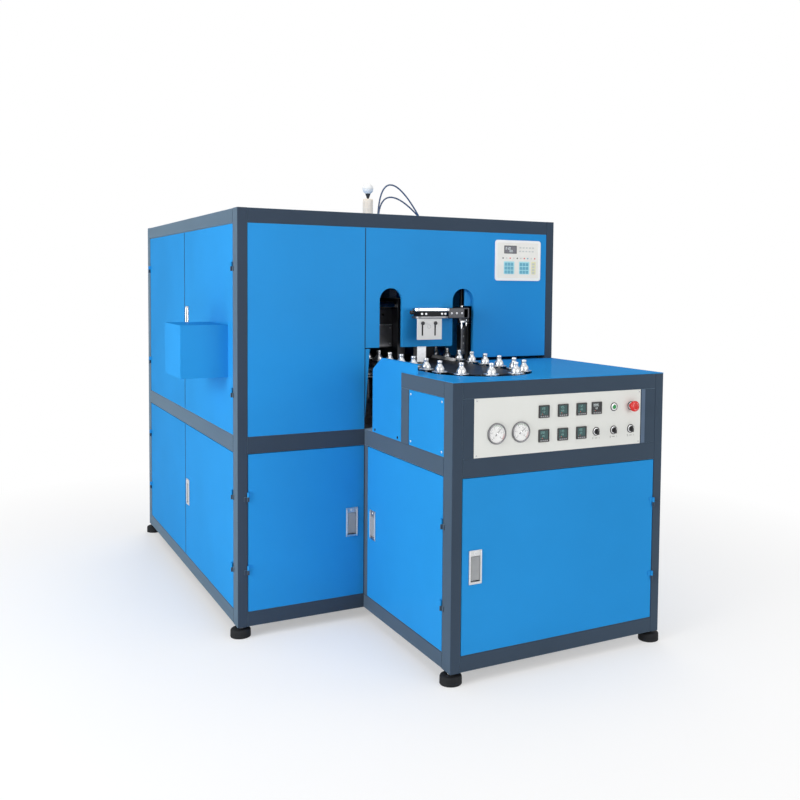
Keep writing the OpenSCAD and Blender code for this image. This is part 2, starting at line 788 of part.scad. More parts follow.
module front_door() {
    placed() color(blue) on_front(post_w, base_top)
        leaf(front_w, lower_h, false, front_w - latch_inset, latch_z - base_top);
}
module table_front_door() {
    placed() color(blue) translate([table_x + post_w, -table_d, base_top])
        leaf(table_front_w, lower_h, true, latch_inset, latch_z - base_top);
}
module table_side_door() {
    placed() color(blue) on_side(0, base_top)
        leaf(side_w, lower_h, true, latch_inset + 38, latch_z - base_top, gap_l = 38);
}
module lower_front_door() {
    placed() color(blue) on_left(door_mid_y, base_top)
        leaf(near_w, lower_h, true, latch_inset, latch_z - base_top, gap_l = door_gap / 2);
}
module lower_rear_door() {
    placed() color(blue) on_left(body_d - post_d, base_top)
        leaf(far_w, lower_h, false, 0, 0, false, gap_r = door_gap / 2);
}
module upper_rear_door() {
    placed() color(blue) on_left(body_d - post_d, mid_top)
        leaf(far_w, upper_h, false, 0, 0, false, gap_r = door_gap / 2);
}
module upper_front_door() {
    hole = 12;
    placed() color(blue) difference() {
        on_left(door_mid_y, mid_top)
            leaf(near_w, upper_h, true, latch_inset, upper_latch_z - mid_top, gap_l = door_gap / 2);
        translate([-1, cover_y + hole, cover_z + hole])
            cube([fold_d + 4, cover_w - 2 * hole, cover_h - 2 * hole]);
    }
}

// The box round the clamp cylinder's end, with a flange on the door
module cylinder_cover() {
    t = 2;
    placed() color(blue) difference() {
        translate([-cover_out, cover_y, cover_z])
            cube([cover_out + face_recess, cover_w, cover_h]);
        translate([-cover_out + t, cover_y + t, cover_z + t])
            cube([cover_out + face_recess, cover_w - 2 * t, cover_h - 2 * t]);
    }
}

module upper_latch() {
    placed() color(steel) on_left(door_mid_y, upper_latch_z)
        translate([latch_inset, 0, 0]) latch_lever();
}
module lower_latch() {
    placed() color(steel) on_left(door_mid_y, latch_z)
        translate([latch_inset, 0, 0]) latch_lever();
}
module front_latch() {
    placed() color(steel) on_front(table_x - latch_inset, latch_z) latch_lever();
}
module table_side_latch() {
    placed() color(steel) on_side(0, latch_z) translate([latch_inset + 38, 0, 0]) latch_lever();
}
module table_front_latch() {
    placed() color(steel) translate([table_x + post_w + latch_inset, -table_d, latch_z])
        latch_lever();
}

// The steel plate that carries the clamp
module machine_bed() {
    placed() color(steel) difference() {
        translate([rail_t + 10, bed_y, bed_z])
            cube([row_r + 225 - rail_t - 10, bed_end_y - bed_y, bed_t]);
        for (s = [-1, 1])
            translate([row_l, clamp_y + s * cavity_pitch / 2, bed_z - 1])
                cylinder(d = 16, h = bed_t + 2);
    }
}

// Bores for the four tie bars
module tie_bores(x, l, d) {
    for (sy = [-1, 1], sz = [-1, 1])
        translate([x, clamp_y + sy * tie_y, clamp_z + sz * tie_z]) rotate([0, 90, 0])
            cylinder(d = d, h = l);
}

// Tail platen and fixed platen, both standing on the bed
module end_platens() {
    placed() color(steel) for (x = [tail_x, fixed_x]) difference() {
        translate([x, clamp_y - platen_w / 2, bed_top])
            cube([platen_t, platen_w, clamp_z + platen_half_h - bed_top]);
        tie_bores(x - 1, platen_t + 2, tie_d);
        if (x == tail_x)
            translate([x - 1, clamp_y, clamp_z]) rotate([0, 90, 0])
                cylinder(d = rod_d + 4, h = platen_t + 2);
    }
}

// One bottle-shaped cavity, neck down
module cavity() {
    h = mould_h;
    rotate_extrude() polygon([[0, -1], [neck_d / 2, -1], [neck_d / 2, 12], [neck_d / 2 + 3, 22],
        [bottle_d / 2 - 6, 48], [bottle_d / 2, 66], [bottle_d / 2 - 2, 100],
        [bottle_d / 2, 130], [bottle_d / 2, h + 1], [0, h + 1]]);
}

// A mould half whose parting face is at x = 0, on its right
module mould_half() {
    difference() {
        translate([-mould_t, clamp_y - mould_w / 2, mould_z]) cube([mould_t, mould_w, mould_h]);
        for (s = [-1, 1])
            translate([0, clamp_y + s * cavity_pitch / 2, mould_z]) cavity();
        for (z = [40, mould_h - 40])
            translate([-mould_t / 2, clamp_y - mould_w / 2 - 1, mould_z + z])
                rotate([-90, 0, 0]) cylinder(d = 12, h = 26);
    }
}
module fixed_mould() {
    placed() color(steel) translate([split_x, 0, 0]) mirror([1, 0, 0]) mould_half();
}
module moving_mould() {
    placed() color(steel) translate([split_x - clamp_stroke + fit, 0, 0]) mould_half();
}

// Four tie bars with their nuts
module tie_bars() {
    nut = 25;
    x0 = tail_x - nut - 8;
    x1 = fixed_x + platen_t + nut + 8;
    placed() color(steel) for (sy = [-1, 1], sz = [-1, 1])
        translate([x0, clamp_y + sy * tie_y, clamp_z + sz * tie_z]) rotate([0, 90, 0]) {
            cylinder(d = tie_d, h = x1 - x0);
            for (z = [8, x1 - x0 - nut - 8])
                translate([0, 0, z]) cylinder(d = 56, h = nut, $fn = 6);
        }
}

// The clamp cylinder behind the tail platen
module clamp_cylinder() {
    l = tail_x + clamp_reach;
    placed() color(steel) translate([-clamp_reach, clamp_y, clamp_z]) rotate([0, 90, 0])
        difference() {
            union() {
                for (z = [0, l - cap_t])
                    translate([-cap_w / 2, -cap_w / 2, z]) cube([cap_w, cap_w, cap_t]);
                cylinder(d = clamp_tube_d, h = l);
                for (sx = [-1, 1], sy = [-1, 1])
                    translate([sx * (cap_w / 2 - 13), sy * (cap_w / 2 - 13), -6])
                        cylinder(d = 12, h = l + 6);
            }
            translate([0, 0, cap_t]) cylinder(d = clamp_tube_d - 12, h = l);
        }
}

// The moving platen with its rod and piston
module moving_platen() {
    piston_x = -clamp_reach + cap_t + 5;
    placed() color(steel) {
        difference() {
            translate([moving_x, clamp_y - platen_w / 2, clamp_z - platen_half_h])
                cube([platen_t, platen_w, 2 * platen_half_h]);
            tie_bores(moving_x - 1, platen_t + 2, tie_d + 2 * running_fit);
        }
        translate([piston_x, clamp_y, clamp_z]) rotate([0, 90, 0]) {
            cylinder(d = rod_d, h = moving_x - piston_x + eps);
            cylinder(d = clamp_tube_d - 12 - 2 * running_fit, h = 30);
            translate([0, 0, moving_x - piston_x - 15]) cylinder(d = 90, h = 15 + eps);
        }
    }
}

// The base plug's cylinder on a bracket over the fixed platen
module base_cylinder() {
    platen_top = clamp_z + platen_half_h;
    bracket_t = 20;
    placed() color(steel) {
        difference() {
            union() {
                translate([fixed_x, clamp_y - 90, platen_top])
                    cube([platen_t, 180, base_plate_z - platen_top + bracket_t]);
                translate([bracket_x, clamp_y - 90, base_plate_z])
                    cube([fixed_x + platen_t - bracket_x, 180, bracket_t]);
                for (s = [-1, 1])
                    translate([fixed_x, clamp_y + s * 84 + 6, base_plate_z - 80])
                        rotate([90, 0, 0]) linear_extrude(12)
                            polygon([[1, 81], [-80, 81], [1, 0]]);
            }
            translate([split_x, clamp_y, base_plate_z - 1]) cylinder(d = 32, h = bracket_t + 2);
        }
        translate([split_x, clamp_y, base_plate_z + bracket_t]) difference() {
            union() {
                for (z = [0, 130]) translate([-37, -37, z]) cube([74, 74, 20]);
                cylinder(d = 68, h = 150);
            }
            translate([0, 0, -1]) cylinder(d = 60, h = 131);
        }
    }
}

// Two base plugs on a yoke, at the end of the cylinder's rod
module base_plug() {
    yoke_h = 18;
    placed() color(steel) translate([split_x, clamp_y, plug_rest_z]) {
        for (s = [-1, 1])
            translate([0, s * cavity_pitch / 2, 0]) cylinder(d = bottle_d - 2 * 0.5, h = 40);
        translate([-35, -cavity_pitch / 2 - 35, 40 - eps]) cube([70, cavity_pitch + 70, yoke_h]);
        translate([0, 0, 40]) cylinder(d = 25, h = base_plate_z + 50 + plug_drop - plug_rest_z - 40);
        translate([0, 0, base_plate_z + 130 - plug_rest_z - 4])
            cylinder(d = 60 - 2 * running_fit, h = 18);
    }
}

// The blow block under the chain with its two nozzles, and the stretch cylinder under the bed
module blow_cylinder() {
    block_h = nozzle_z - bed_top;
    placed() color(steel) difference() {
        union() {
            translate([row_l - 35, clamp_y - 110, bed_top]) cube([70, 220, block_h]);
            for (s = [-1, 1])
                translate([row_l, clamp_y + s * cavity_pitch / 2, nozzle_z - eps])
                    cylinder(d = 28, h = chain_z - 12 - nozzle_z);
            translate([row_l, clamp_y, bed_z - 230]) cylinder(d = 50, h = 230);
        }
        for (s = [-1, 1])
            translate([row_l, clamp_y + s * cavity_pitch / 2, bed_top - 1])
                cylinder(d = stretch_d + 2 * running_fit, h = 400);
        translate([row_l, clamp_y, bed_z - 231]) cylinder(d = 42, h = 225);
    }
}

// Stretch rods on their yoke, with the piston rod between them
module stretch_rods() {
    rod_top = chain_z - 16;
    placed() color(steel) {
        for (s = [-1, 1])
            translate([row_l, clamp_y + s * cavity_pitch / 2, stretch_z - 190])
                cylinder(d = stretch_d, h = rod_top - stretch_z + 190);
        translate([row_l - 15, clamp_y - cavity_pitch / 2 - 15, stretch_z - 200])
            cube([30, cavity_pitch + 30, 15]);
        translate([row_l, clamp_y, stretch_z - 190]) cylinder(d = 16, h = 225);
        translate([row_l, clamp_y, stretch_z + 20]) cylinder(d = 42 - 2 * running_fit, h = 14);
    }
}

// Rails under both straight runs, on trestles; the end trestles hold the wheel bearings
module chain_track() {
    leg = 40;
    bearing_d = 80;
    half = loop_r + 30;
    ys = [turn_y - trestle_w / 2, 2, bed_end_y - trestle_w, rear_y - trestle_w / 2];
    feet_z = [mid_top, bed_top, bed_top, mid_top];
    placed() color(steel) {
        for (x = [row_l, row_r]) difference() {
            translate([x - rail_w / 2, turn_y, rail_z]) cube([rail_w, rear_y - turn_y, rail_h]);
            if (x == row_l)
                for (s = [-1, 1])
                    translate([x, clamp_y + s * cavity_pitch / 2, rail_z - 1])
                        cylinder(d = 34, h = rail_h + 2);
        }
        for (i = [0:3]) {
            for (x = [loop_x - half, loop_x + half - leg])
                translate([x, ys[i] + (trestle_w - leg) / 2, feet_z[i]])
                    cube([leg, leg, trestle_z - feet_z[i] - weld_gap]);
            difference() {
                union() {
                    translate([loop_x - half, ys[i], trestle_z])
                        cube([2 * half, trestle_w, trestle_h - weld_gap]);
                    if (i == 0 || i == 3)
                        translate([loop_x, ys[i] + trestle_w / 2, trestle_z - 30])
                            cylinder(d = bearing_d, h = 30 + trestle_h - weld_gap);
                }
                if (i == 0 || i == 3)
                    translate([loop_x, ys[i] + trestle_w / 2, trestle_z - 31])
                        cylinder(d = shaft_d + 2 * running_fit, h = trestle_h + 33);
            }
        }
    }
}

// Place and heading of chain pin i, counted along the left run, the rear turn and back
function pin_place(i) =
    i <= run_links ? [row_l, turn_y + i * pitch]
    : i <= run_links + half_turn ?
        let (a = (i - run_links) * 360 / teeth)
        [loop_x - loop_r * cos(a), rear_y + loop_r * sin(a)]
    : i <= 2 * run_links + half_turn ?
        [row_r, rear_y - (i - run_links - half_turn) * pitch]
    : let (a = (i - 2 * run_links - half_turn) * 360 / teeth)
        [loop_x + loop_r * cos(a), turn_y - loop_r * sin(a)];

// Outline of the link plate from pin i to pin i + 1
module link_outline(i) {
    a = pin_place(i);
    b = pin_place(i + 1);
    translate(a) rotate(atan2(b[1] - a[1], b[0] - a[0])) {
        circle(d = plate_w);
        translate([pitch, 0]) circle(d = plate_w);
        translate([0, -plate_w / 2 + 2]) square([pitch, plate_w - 4]);
    }
}

// The roller chain: outer and inner plates, rollers and pins, bored where a holder stands
module chain() {
    placed() color(steel) difference() {
        union() {
            for (z = [inner_z, inner_top_z])
                translate([0, 0, z]) linear_extrude(plate_t)
                    for (i = [0:2:links - 1]) link_outline(i);
            for (z = [chain_z, inner_top_z + plate_t + plate_gap])
                translate([0, 0, z]) linear_extrude(plate_t)
                    for (i = [1:2:links - 1]) link_outline(i);
            for (i = [0:links - 1]) translate(pin_place(i)) {
                translate([0, 0, roller_z - eps]) cylinder(d = roller_d, h = roller_h + 2 * eps);
                if (i % holder_links != 0)
                    translate([0, 0, chain_z]) cylinder(d = pin_d, h = chain_top - chain_z);
            }
        }
        for (i = [0:holder_links:links - 1])
            translate(concat(pin_place(i), [chain_z - 1]))
                cylinder(d = stem_bore, h = chain_top - chain_z + 2);
    }
}

// A chain wheel with one gap for each roller
module wheel() {
    root = loop_r - roller_d / 2 - fit;
    placed() translate([loop_x, turn_y, 0]) {
        translate([0, 0, wheel_z]) linear_extrude(wheel_t) difference() {
            circle(r = loop_r + 5, $fn = 96);
            for (i = [0:teeth - 1]) rotate(i * 360 / teeth) {
                translate([loop_r, 0]) circle(d = roller_d + 2 * fit);
                polygon([[loop_r, -roller_d / 2 - fit], [loop_r + 8, -roller_d / 2 - 2.5],
                    [loop_r + 8, roller_d / 2 + 2.5], [loop_r, roller_d / 2 + fit]]);
            }
            for (i = [0:5]) rotate(i * 60) translate([root * 0.58, 0]) circle(r = root * 0.19);
        }
        translate([0, 0, trestle_z + trestle_h + fit])
            cylinder(d = 70, h = wheel_z + wheel_t + 5 - trestle_z - trestle_h - fit);
        translate([0, 0, trestle_z - 60]) cylinder(d = shaft_d, h = wheel_z - trestle_z + 60);
    }
}
module idler_wheel() {
    color(steel) wheel();
}
module drive_wheel() {
    color(steel) translate([0, rear_y - turn_y, 0]) wheel();
}

// The hollow preform holders, seated in the chain
module preform_holders() {
    stem_d = pin_d;
    h = holder_h;
    placed() color(white) for (i = [0:holder_links:links - 1])
        translate(concat(pin_place(i), [chain_z])) difference() {
            union() {
                cylinder(d = stem_d, h = table_h + 4 - chain_z);
                translate([0, 0, table_h + 3 - chain_z]) rotate_extrude()
                    polygon([[0, 0], [flange_d / 2, 0], [flange_d / 2, 4], [20, 5],
                        [18.5, 22], [16, 27], [11.5, 30], [11, 43], [9, h - 8],
                        [9, h - 5], [7.5, h - 3], [0, h - 3]]);
            }
            translate([0, 0, -1]) cylinder(d = rod_bore, h = h + 60);
        }
}

// Gearbox and motor under the rear chain wheel
module gearmotor() {
    box_w = 150;
    box_h = trestle_z - 60 - mid_top;
    placed() color(frame_grey) translate([loop_x, rear_y, mid_top]) {
        difference() {
            union() {
                translate([-box_w / 2, -box_w / 2, 0]) cube([box_w, box_w, box_h + 30]);
                translate([0, 0, box_h / 2 + 10]) rotate([-90, 0, 0]) {
                    cylinder(d = 120, h = 330);
                    translate([0, 0, 95]) cylinder(d = 140, h = 14);
                    translate([0, 0, 290]) cylinder(d = 128, h = 50);
                }
            }
            translate([0, 0, box_h - 2]) cylinder(d = shaft_d + 2 * running_fit, h = 60);
        }
        translate([60, 130, box_h / 2 + 5]) cube([40, 90, 60]);
    }
}

// The oven's tunnel over the right row: front and rear walls with a preform slot
module oven_housing() {
    t = 2;
    gap = 64;
    foot_z = bed_top;
    placed() color(blue) {
        difference() {
            translate([oven_x, oven_y, oven_z]) cube([oven_w, oven_len, oven_h]);
            translate([oven_x + t, oven_y + t, oven_z - 1])
                cube([oven_w - 2 * t, oven_len - 2 * t, oven_h - t + 1]);
            translate([row_r - gap / 2, oven_y - 1, oven_z - 1]) cube([gap, oven_len + 2, 181]);
        }
        for (y = [oven_y + 5, bed_end_y - 50])
            translate([oven_x + oven_w - 40 - t, y, foot_z]) cube([40, 40, oven_z - foot_z + 20]);
    }
}

// Infrared lamps along the oven, in end sockets
module heater_lamps() {
    x = row_r + 75;
    y0 = oven_y + 2;
    l = oven_len - 4;
    placed() color(pale) for (i = [0:5])
        translate([x, y0, oven_z + 40 + i * 26]) rotate([-90, 0, 0]) {
            cylinder(d = 12, h = l);
            for (z = [0, l - 22]) translate([0, 0, z]) cylinder(d = 18, h = 22);
        }
}

// Mounting plate with contactors and relays, behind the table's front door
module electrical_plate() {
    side = 150;
    w = table_w - side - 200;
    z0 = 85;
    plate_depth = 3;
    devices = 10;
    step = (w - 70) / devices;
    placed() color(pale) translate([table_x + side, 0, z0]) {
        translate([0, -plate_depth, 0]) cube([w, plate_depth, mid_top - 20 - z0]);
        translate([0, -plate_depth - weld_gap, 0]) for (z = [90, 260, 430, 600]) {
            translate([20, -10, z]) cube([w - 40, 10, 35]);
            for (i = [0:devices - 1]) let (depth = 60 + 12 * (i % 3))
                translate([35 + i * step, -10 - depth, z - 25])
                    cube([step - 13, depth + eps, 85]);
        }
    }
}

// Filter, regulator and lubricator on the lower front post
module air_service_unit() {
    placed() color(steel) translate([table_x + post_w / 2, rail_t, 520]) {
        translate([-20, 0, -10]) cube([40, 6, 120]);
        for (i = [0:2]) translate([0, 40 + i * 72, 0]) {
            translate([-30, -34, 20]) cube([60, 68, 60]);
            translate([0, 0, -70]) cylinder(d = 50, h = 91);
            translate([0, 0, 79]) cylinder(d = i == 1 ? 42 : 24, h = 34);
        }
        translate([-12, 0, 38]) cube([24, 230, 24]);
    }
}

// Two air tubes that arch from one pair of roof fittings to the other
module air_tubes() {
    placed() color(blue) for (t = [[803, 322, 1039, 215], [815, 342, 1051, 135]])
        tube_arch([t[0], t[1], body_h + 12], [t[2], t[1], body_h + 12], t[3], 8);
}
function arch_point(a, b, rise, u) =
    let (p1 = a + [10, 0, rise], p2 = a + [100, 0, rise], v = 1 - u)
    v * v * v * a + 3 * v * v * u * p1 + 3 * v * u * u * p2 + u * u * u * b;
module tube_arch(a, b, rise, d) {
    rings = 26;
    sides = 10;
    path = [for (i = [0:rings]) arch_point(a, b, rise, i / rings)];
    pts = [for (i = [0:rings]) let (
            p = path[max(i - 1, 0)], q = path[min(i + 1, rings)],
            t = (i == 0 || i == rings) ? [0, 0, sign(rings / 2 - i)] : (q - p) / norm(q - p),
            n = [-t[2], 0, t[0]])
        for (k = [0:sides - 1])
            path[i] + d / 2 * (cos(k * 360 / sides) * n + sin(k * 360 / sides) * [0, 1, 0])];
    faces = concat([[for (k = [0:sides - 1]) k]],
        [for (i = [0:rings - 1], k = [0:sides - 1])
            [i * sides + k, (i + 1) * sides + k, (i + 1) * sides + (k + 1) % sides,
             i * sides + (k + 1) % sides]],
        [[for (k = [sides - 1:-1:0]) rings * sides + k]]);
    polyhedron(pts, faces);
}

// Bulkhead fittings, and the silencer with its neck and ball
module roof_fittings() {
    placed() color(sand) {
        for (i = [1:4]) let (p = roof_holes[i]) translate([p[0], p[1], 0]) {
            translate([0, 0, body_h - fold_d]) cylinder(d = 14, h = fold_d + 4);
            translate([0, 0, body_h - face_recess]) cylinder(d = 20, h = 6, $fn = 6);
            translate([0, 0, body_h]) cylinder(d = 13, h = 12);
        }
        translate([roof_holes[0][0], roof_holes[0][1], body_h]) {
            translate([0, 0, -fold_d]) cylinder(d = 20, h = fold_d + 1);
            translate([0, 0, -face_recess]) cylinder(d = 51, h = 97 + face_recess);
            rotate_extrude() polygon([[0, 97], [6, 97], [8, 102], [22, 127], [22, 130], [0, 130]]);
            translate([0, 0, 147]) sphere(d = 54);
        }
    }
}

// The lift cylinder and the guide rod of the arm, on a foot beside the right row
module lift_column() {
    placed() color(steel) {
        translate([guide_x - 15, column_y - 30, bed_top]) cube([75, 60, 20]);
        translate([guide_x, column_y, bed_top]) cylinder(d = guide_d, h = guide_top_z - bed_top);
        translate([lift_x, column_y, bed_top]) cylinder(d = 34, h = arm_z - 6 - bed_top);
        translate([guide_x - 13, column_y - 22, table_h + 25]) cube([30, 44, 150]);
    }
}

// The lifting arm: a sleeve on the guide rod, a bent bar and the gripper ring
module lifting_arm() {
    bar_y = 40;
    rim = 16;
    placed() color(steel) {
        difference() {
            union() {
                translate([arm_bar_x, column_y - 20, arm_z])
                    cube([lift_x + 23 - arm_bar_x, 40, arm_h]);
                translate([arm_bar_x, arm_reach_y, arm_z])
                    cube([arm_bar_w, column_y - arm_reach_y, arm_h]);
                translate([ring_x + ring_w / 2, arm_reach_y, arm_z])
                    cube([arm_bar_x + 1 - ring_x - ring_w / 2, bar_y, arm_h]);
                translate([lift_x, column_y, arm_z - 5]) cylinder(d = 12, h = 6);
            }
            translate([guide_x, column_y, arm_z - 1])
                cylinder(d = guide_d + 2 * running_fit, h = arm_h + 2);
        }
        translate([0, 0, ring_z]) linear_extrude(ring_t) difference() {
            translate([ring_x - ring_w / 2, ring_y]) rounded(ring_w + 2, ring_d, 30);
            translate([ring_x - ring_w / 2 + rim, ring_y + 14])
                rounded(ring_w - 2 * rim, ring_d - 28, 20);
        }
        translate([ring_x - 70, ring_y + 6, lip_z + lip_t - eps])
            cube([140, ring_d - 12, grip_h + 2 * eps]);
        translate([ring_x - ring_w / 2 + 7, ring_y + 2, lip_z]) linear_extrude(lip_t)
            rounded(ring_w - 14, ring_d - 4, 28);
    }
}

// The white plate under the ring, with two slots and two clamping knobs
module slotted_plate() {
    w = 130;
    h = 100;
    t = 4;
    slots = [28, 95];
    x0 = ring_x - ring_w / 2 + 11;
    y0 = ring_y + 12;
    z0 = lip_z - h;
    placed() color(white) {
        translate([x0, y0, z0]) rotate([90, 0, 0]) linear_extrude(t) difference() {
            square([w, h]);
            for (x = slots) translate([x - 3.5, 18]) square([7, 66]);
        }
        for (x = slots)
            translate([x0 + x, y0, z0 + 78]) rotate([90, 0, 0]) {
                translate([0, 0, -5]) cylinder(d = 6.4, h = 14);
                translate([0, 0, t + weld_gap]) cylinder(d = 16, h = 8);
            }
    }
}

// A selector knob: disc and finger grip, on a stem in its collar
module selector_knob(i) {
    p = switch_places[i];
    placed() color(black) on_table_front(p[0], p[1]) rotate([90, 0, 0]) {
        translate([0, 0, -11]) cylinder(d = 18 - 2 * running_fit, h = 17);
        translate([0, 0, 4 + fit]) cylinder(d = 25, h = 4);
        translate([-4, -13, 4 + fit]) cube([8, 26, 16]);
    }
}
module selector_knob_1() {
    selector_knob(0);
}
module selector_knob_2() {
    selector_knob(1);
}
module selector_knob_3() {
    selector_knob(2);
}

// Emergency stop mushroom
module stop_button() {
    p = switch_places[3];
    travel = 6;
    placed() color(red) on_table_front(p[0], p[1]) rotate([90, 0, 0]) {
        translate([0, 0, -5]) cylinder(d = 18 - 2 * running_fit, h = stop_out);
        translate([0, 0, 4 + travel + fit]) rotate_extrude()
            polygon([[0, 0], [12, 0], [stop_d / 2 - 2, 7], [stop_d / 2, 11],
                [stop_d / 2, stop_out + face_recess - travel - 9],
                [stop_d / 2 - 4, stop_out + face_recess - travel - 4 - fit], [0,
                stop_out + face_recess - travel - 4 - fit]]);
    }
}

// Start button
module start_button() {
    p = switch_places[4];
    placed() color(green) on_table_front(p[0], p[1]) rotate([90, 0, 0])
        translate([0, 0, -7]) cylinder(d = 18 - 2 * running_fit, h = 13);
}

main_frame();
table_frame();
levelling_feet();
roof_panel();
fixed_panels();
slotted_panel();
table_top();
centre_plate();
side_cover();
instrument_panel();
pressure_gauges();
panel_meters();
switch_collars();
keypad();
panel_screws();
hinge_pins();
machine_bed();
end_platens();
fixed_mould();
tie_bars();
clamp_cylinder();
base_cylinder();
blow_cylinder();
chain_track();
chain();
preform_holders();
gearmotor();
oven_housing();
heater_lamps();
electrical_plate();
air_service_unit();
air_tubes();
roof_fittings();
lift_column();
upper_front_door();
cylinder_cover();
upper_rear_door();
lower_front_door();
lower_rear_door();
front_door();
table_side_door();
table_front_door();
upper_latch();
lower_latch();
front_latch();
table_side_latch();
table_front_latch();
moving_platen();
moving_mould();
base_plug();
stretch_rods();
lifting_arm();
slotted_plate();
drive_wheel();
idler_wheel();
selector_knob_1();
selector_knob_2();
selector_knob_3();
stop_button();
start_button();
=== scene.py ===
"""Looks of the blow moulding machine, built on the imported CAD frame.

Places are in millimetres from the cabinet's front left corner on the floor, as in the part's
source: X to the right, Y into the depth, Z up. at() turns them into the frame's metres.
"""

from math import cos, pi, radians, sin, tau

import bmesh
import bpy
from mathutils import Matrix, Vector


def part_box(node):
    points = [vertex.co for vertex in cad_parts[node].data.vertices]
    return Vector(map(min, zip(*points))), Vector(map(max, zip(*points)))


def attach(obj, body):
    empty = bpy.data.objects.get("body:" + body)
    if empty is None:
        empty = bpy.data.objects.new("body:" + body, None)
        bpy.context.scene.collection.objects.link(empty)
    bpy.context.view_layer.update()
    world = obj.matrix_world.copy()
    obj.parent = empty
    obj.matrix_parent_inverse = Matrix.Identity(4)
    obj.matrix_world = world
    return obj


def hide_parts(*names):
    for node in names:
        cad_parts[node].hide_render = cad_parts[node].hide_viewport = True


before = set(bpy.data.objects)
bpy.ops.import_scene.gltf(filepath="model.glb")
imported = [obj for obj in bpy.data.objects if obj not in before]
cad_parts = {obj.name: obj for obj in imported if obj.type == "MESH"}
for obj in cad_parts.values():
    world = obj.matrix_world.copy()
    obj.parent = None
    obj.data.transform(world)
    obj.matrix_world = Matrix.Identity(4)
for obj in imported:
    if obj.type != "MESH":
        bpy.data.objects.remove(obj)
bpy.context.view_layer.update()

# The photograph's camera, in pixels, its sensor in millimetres and the floor's reach in metres
PHOTO_W, FOCAL, CENTRE_X, CENTRE_Y = 800, 929.35, 454.79, 333.34
SENSOR_W = 36
FLOOR_R = 14

# Cabinet
BODY_W, BODY_D, BODY_H = 1650, 2030, 1900
FOOT_H = 50
POST_W, POST_D, RAIL_T = 45, 75, 45
MID_Z, MID_TOP = 822, 897
BASE_TOP, TOP_Z = 115, 1835
FACE_RECESS = 1
WELD_GAP = 0.2
BED_RAIL_Y = 600

# Loading table
TABLE_X, TABLE_D, TABLE_H = 600, 860, 1200
TABLE_RAIL_Z, TABLE_TOP_Z = 1132, 1197
MID_POST_Y, MID_POST_W = 469, 75
TABLE_FACE_Y = -TABLE_D + FACE_RECESS
INST_LEFT, INST_RIGHT = 695, 1525

# Preform chain
TEETH, PITCH, RUN_LINKS, HOLDER_LINKS, STEM_R = 48, 25.4, 66, 5, 6
LOOP_X, CLAMP_Y = 926, 330
LOOP_R = PITCH / (2 * sin(pi / TEETH))
ROW_L, ROW_R = LOOP_X - LOOP_R, LOOP_X + LOOP_R
TURN_Y = CLAMP_Y - 63.5 - 30 * PITCH
REAR_Y = TURN_Y + RUN_LINKS * PITCH
CHAIN_Z = 1166

# Lifting column and arm
GUIDE_X, COLUMN_Y = ROW_R + 45, 100
LIFT_DX = 35
ARM_Z, RING_X = 1412, 913

# Air hoses: the left end, the depth, the right end and the height of the curve's handles
HOSES = ((803, 322, 1039, 215), (815, 342, 1051, 135))

# Instruments
GAUGES = [(798, 988), (911, 988)]
METERS = [(1022 + 94 * i, z) for z in (1064, 965) for i in range(3)] + [(1288, 1064)]
SELECTORS = [(1288 + 92 * i, 965) for i in range(3)]
STOP, START = (1472, 1064), (1380, 1064)
KEYPAD_X, KEYPAD_Z, KEYPAD_W, KEYPAD_H = 1298, 1597, 270, 203

# Planes that doors and instruments lie in: a place, the way out, and the axis of u
FACES = {
    "front": ((0, FACE_RECESS, 0), (0, -1, 0), (1, 0, 0)),
    "table_front": ((0, TABLE_FACE_Y, 0), (0, -1, 0), (1, 0, 0)),
    "left": ((FACE_RECESS, 0, 0), (-1, 0, 0), (0, 1, 0)),
    "table_side": ((TABLE_X + FACE_RECESS, 0, 0), (-1, 0, 0), (0, 1, 0)),
}

# Doors: the latch's body, the plane the door lies in, and the latch's middle in that plane
LATCH_W, LATCH_H = 58, 135
DOORS = {
    "front_door": ("front_latch", "front", 538, 465),
    "table_front_door": ("table_front_latch", "table_front", 707, 465),
    "table_side_door": ("table_side_latch", "table_side", -100, 465),
    "lower_front_door": ("lower_latch", "left", 953, 465),
    "upper_front_door": ("upper_latch", "left", 953, 1378),
    "lower_rear_door": (None, "left", 0, 0),
    "upper_rear_door": (None, "left", 0, 0),
}

# Looks: noise that isn't stretched, and the sockets of a colour mix
EVEN = (1, 1, 1)
MIX_FACTOR, MIX_A, MIX_B, MIX_COLOUR = 0, 6, 7, 2

# Edges stay hard from these angles in degrees, and are rounded from these in radians
HARD_PIECE, HARD_NODE = 35, 30
ROUND_PLATE, ROUND_NODE = 0.7, radians(40)

# A length that counts as none, and the widest space between a sheet's screws
NIL = 1e-6
SCREW_SPAN = 420

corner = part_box("main_frame")[0] * 1000


def at(x, y, z):
    """A place in the row frame, in metres, from millimetres in the cabinet's own frame."""
    return Vector(((x + corner.x) / 1000, (y + corner.y) / 1000, z / 1000))


def back(v):
    """The cabinet place, in millimetres, of a point in the row frame."""
    return Vector((v.x * 1000 - corner.x, v.y * 1000 - corner.y, v.z * 1000))


def shift(x, y, z):
    return Matrix.Translation((x, y, z))


def spin(angle, axis="Z"):
    return Matrix.Rotation(angle, 4, axis)


TO_ROW = Matrix.Translation(at(0, 0, 0)) @ Matrix.Scale(0.001, 4)
TO_FRONT = spin(pi / 2, "X")
STILL = Matrix.Identity(4)


# Camera and light


def linked(name, data):
    """A new object of the scene."""
    made = bpy.data.objects.new(name, data)
    bpy.context.scene.collection.objects.link(made)
    return made


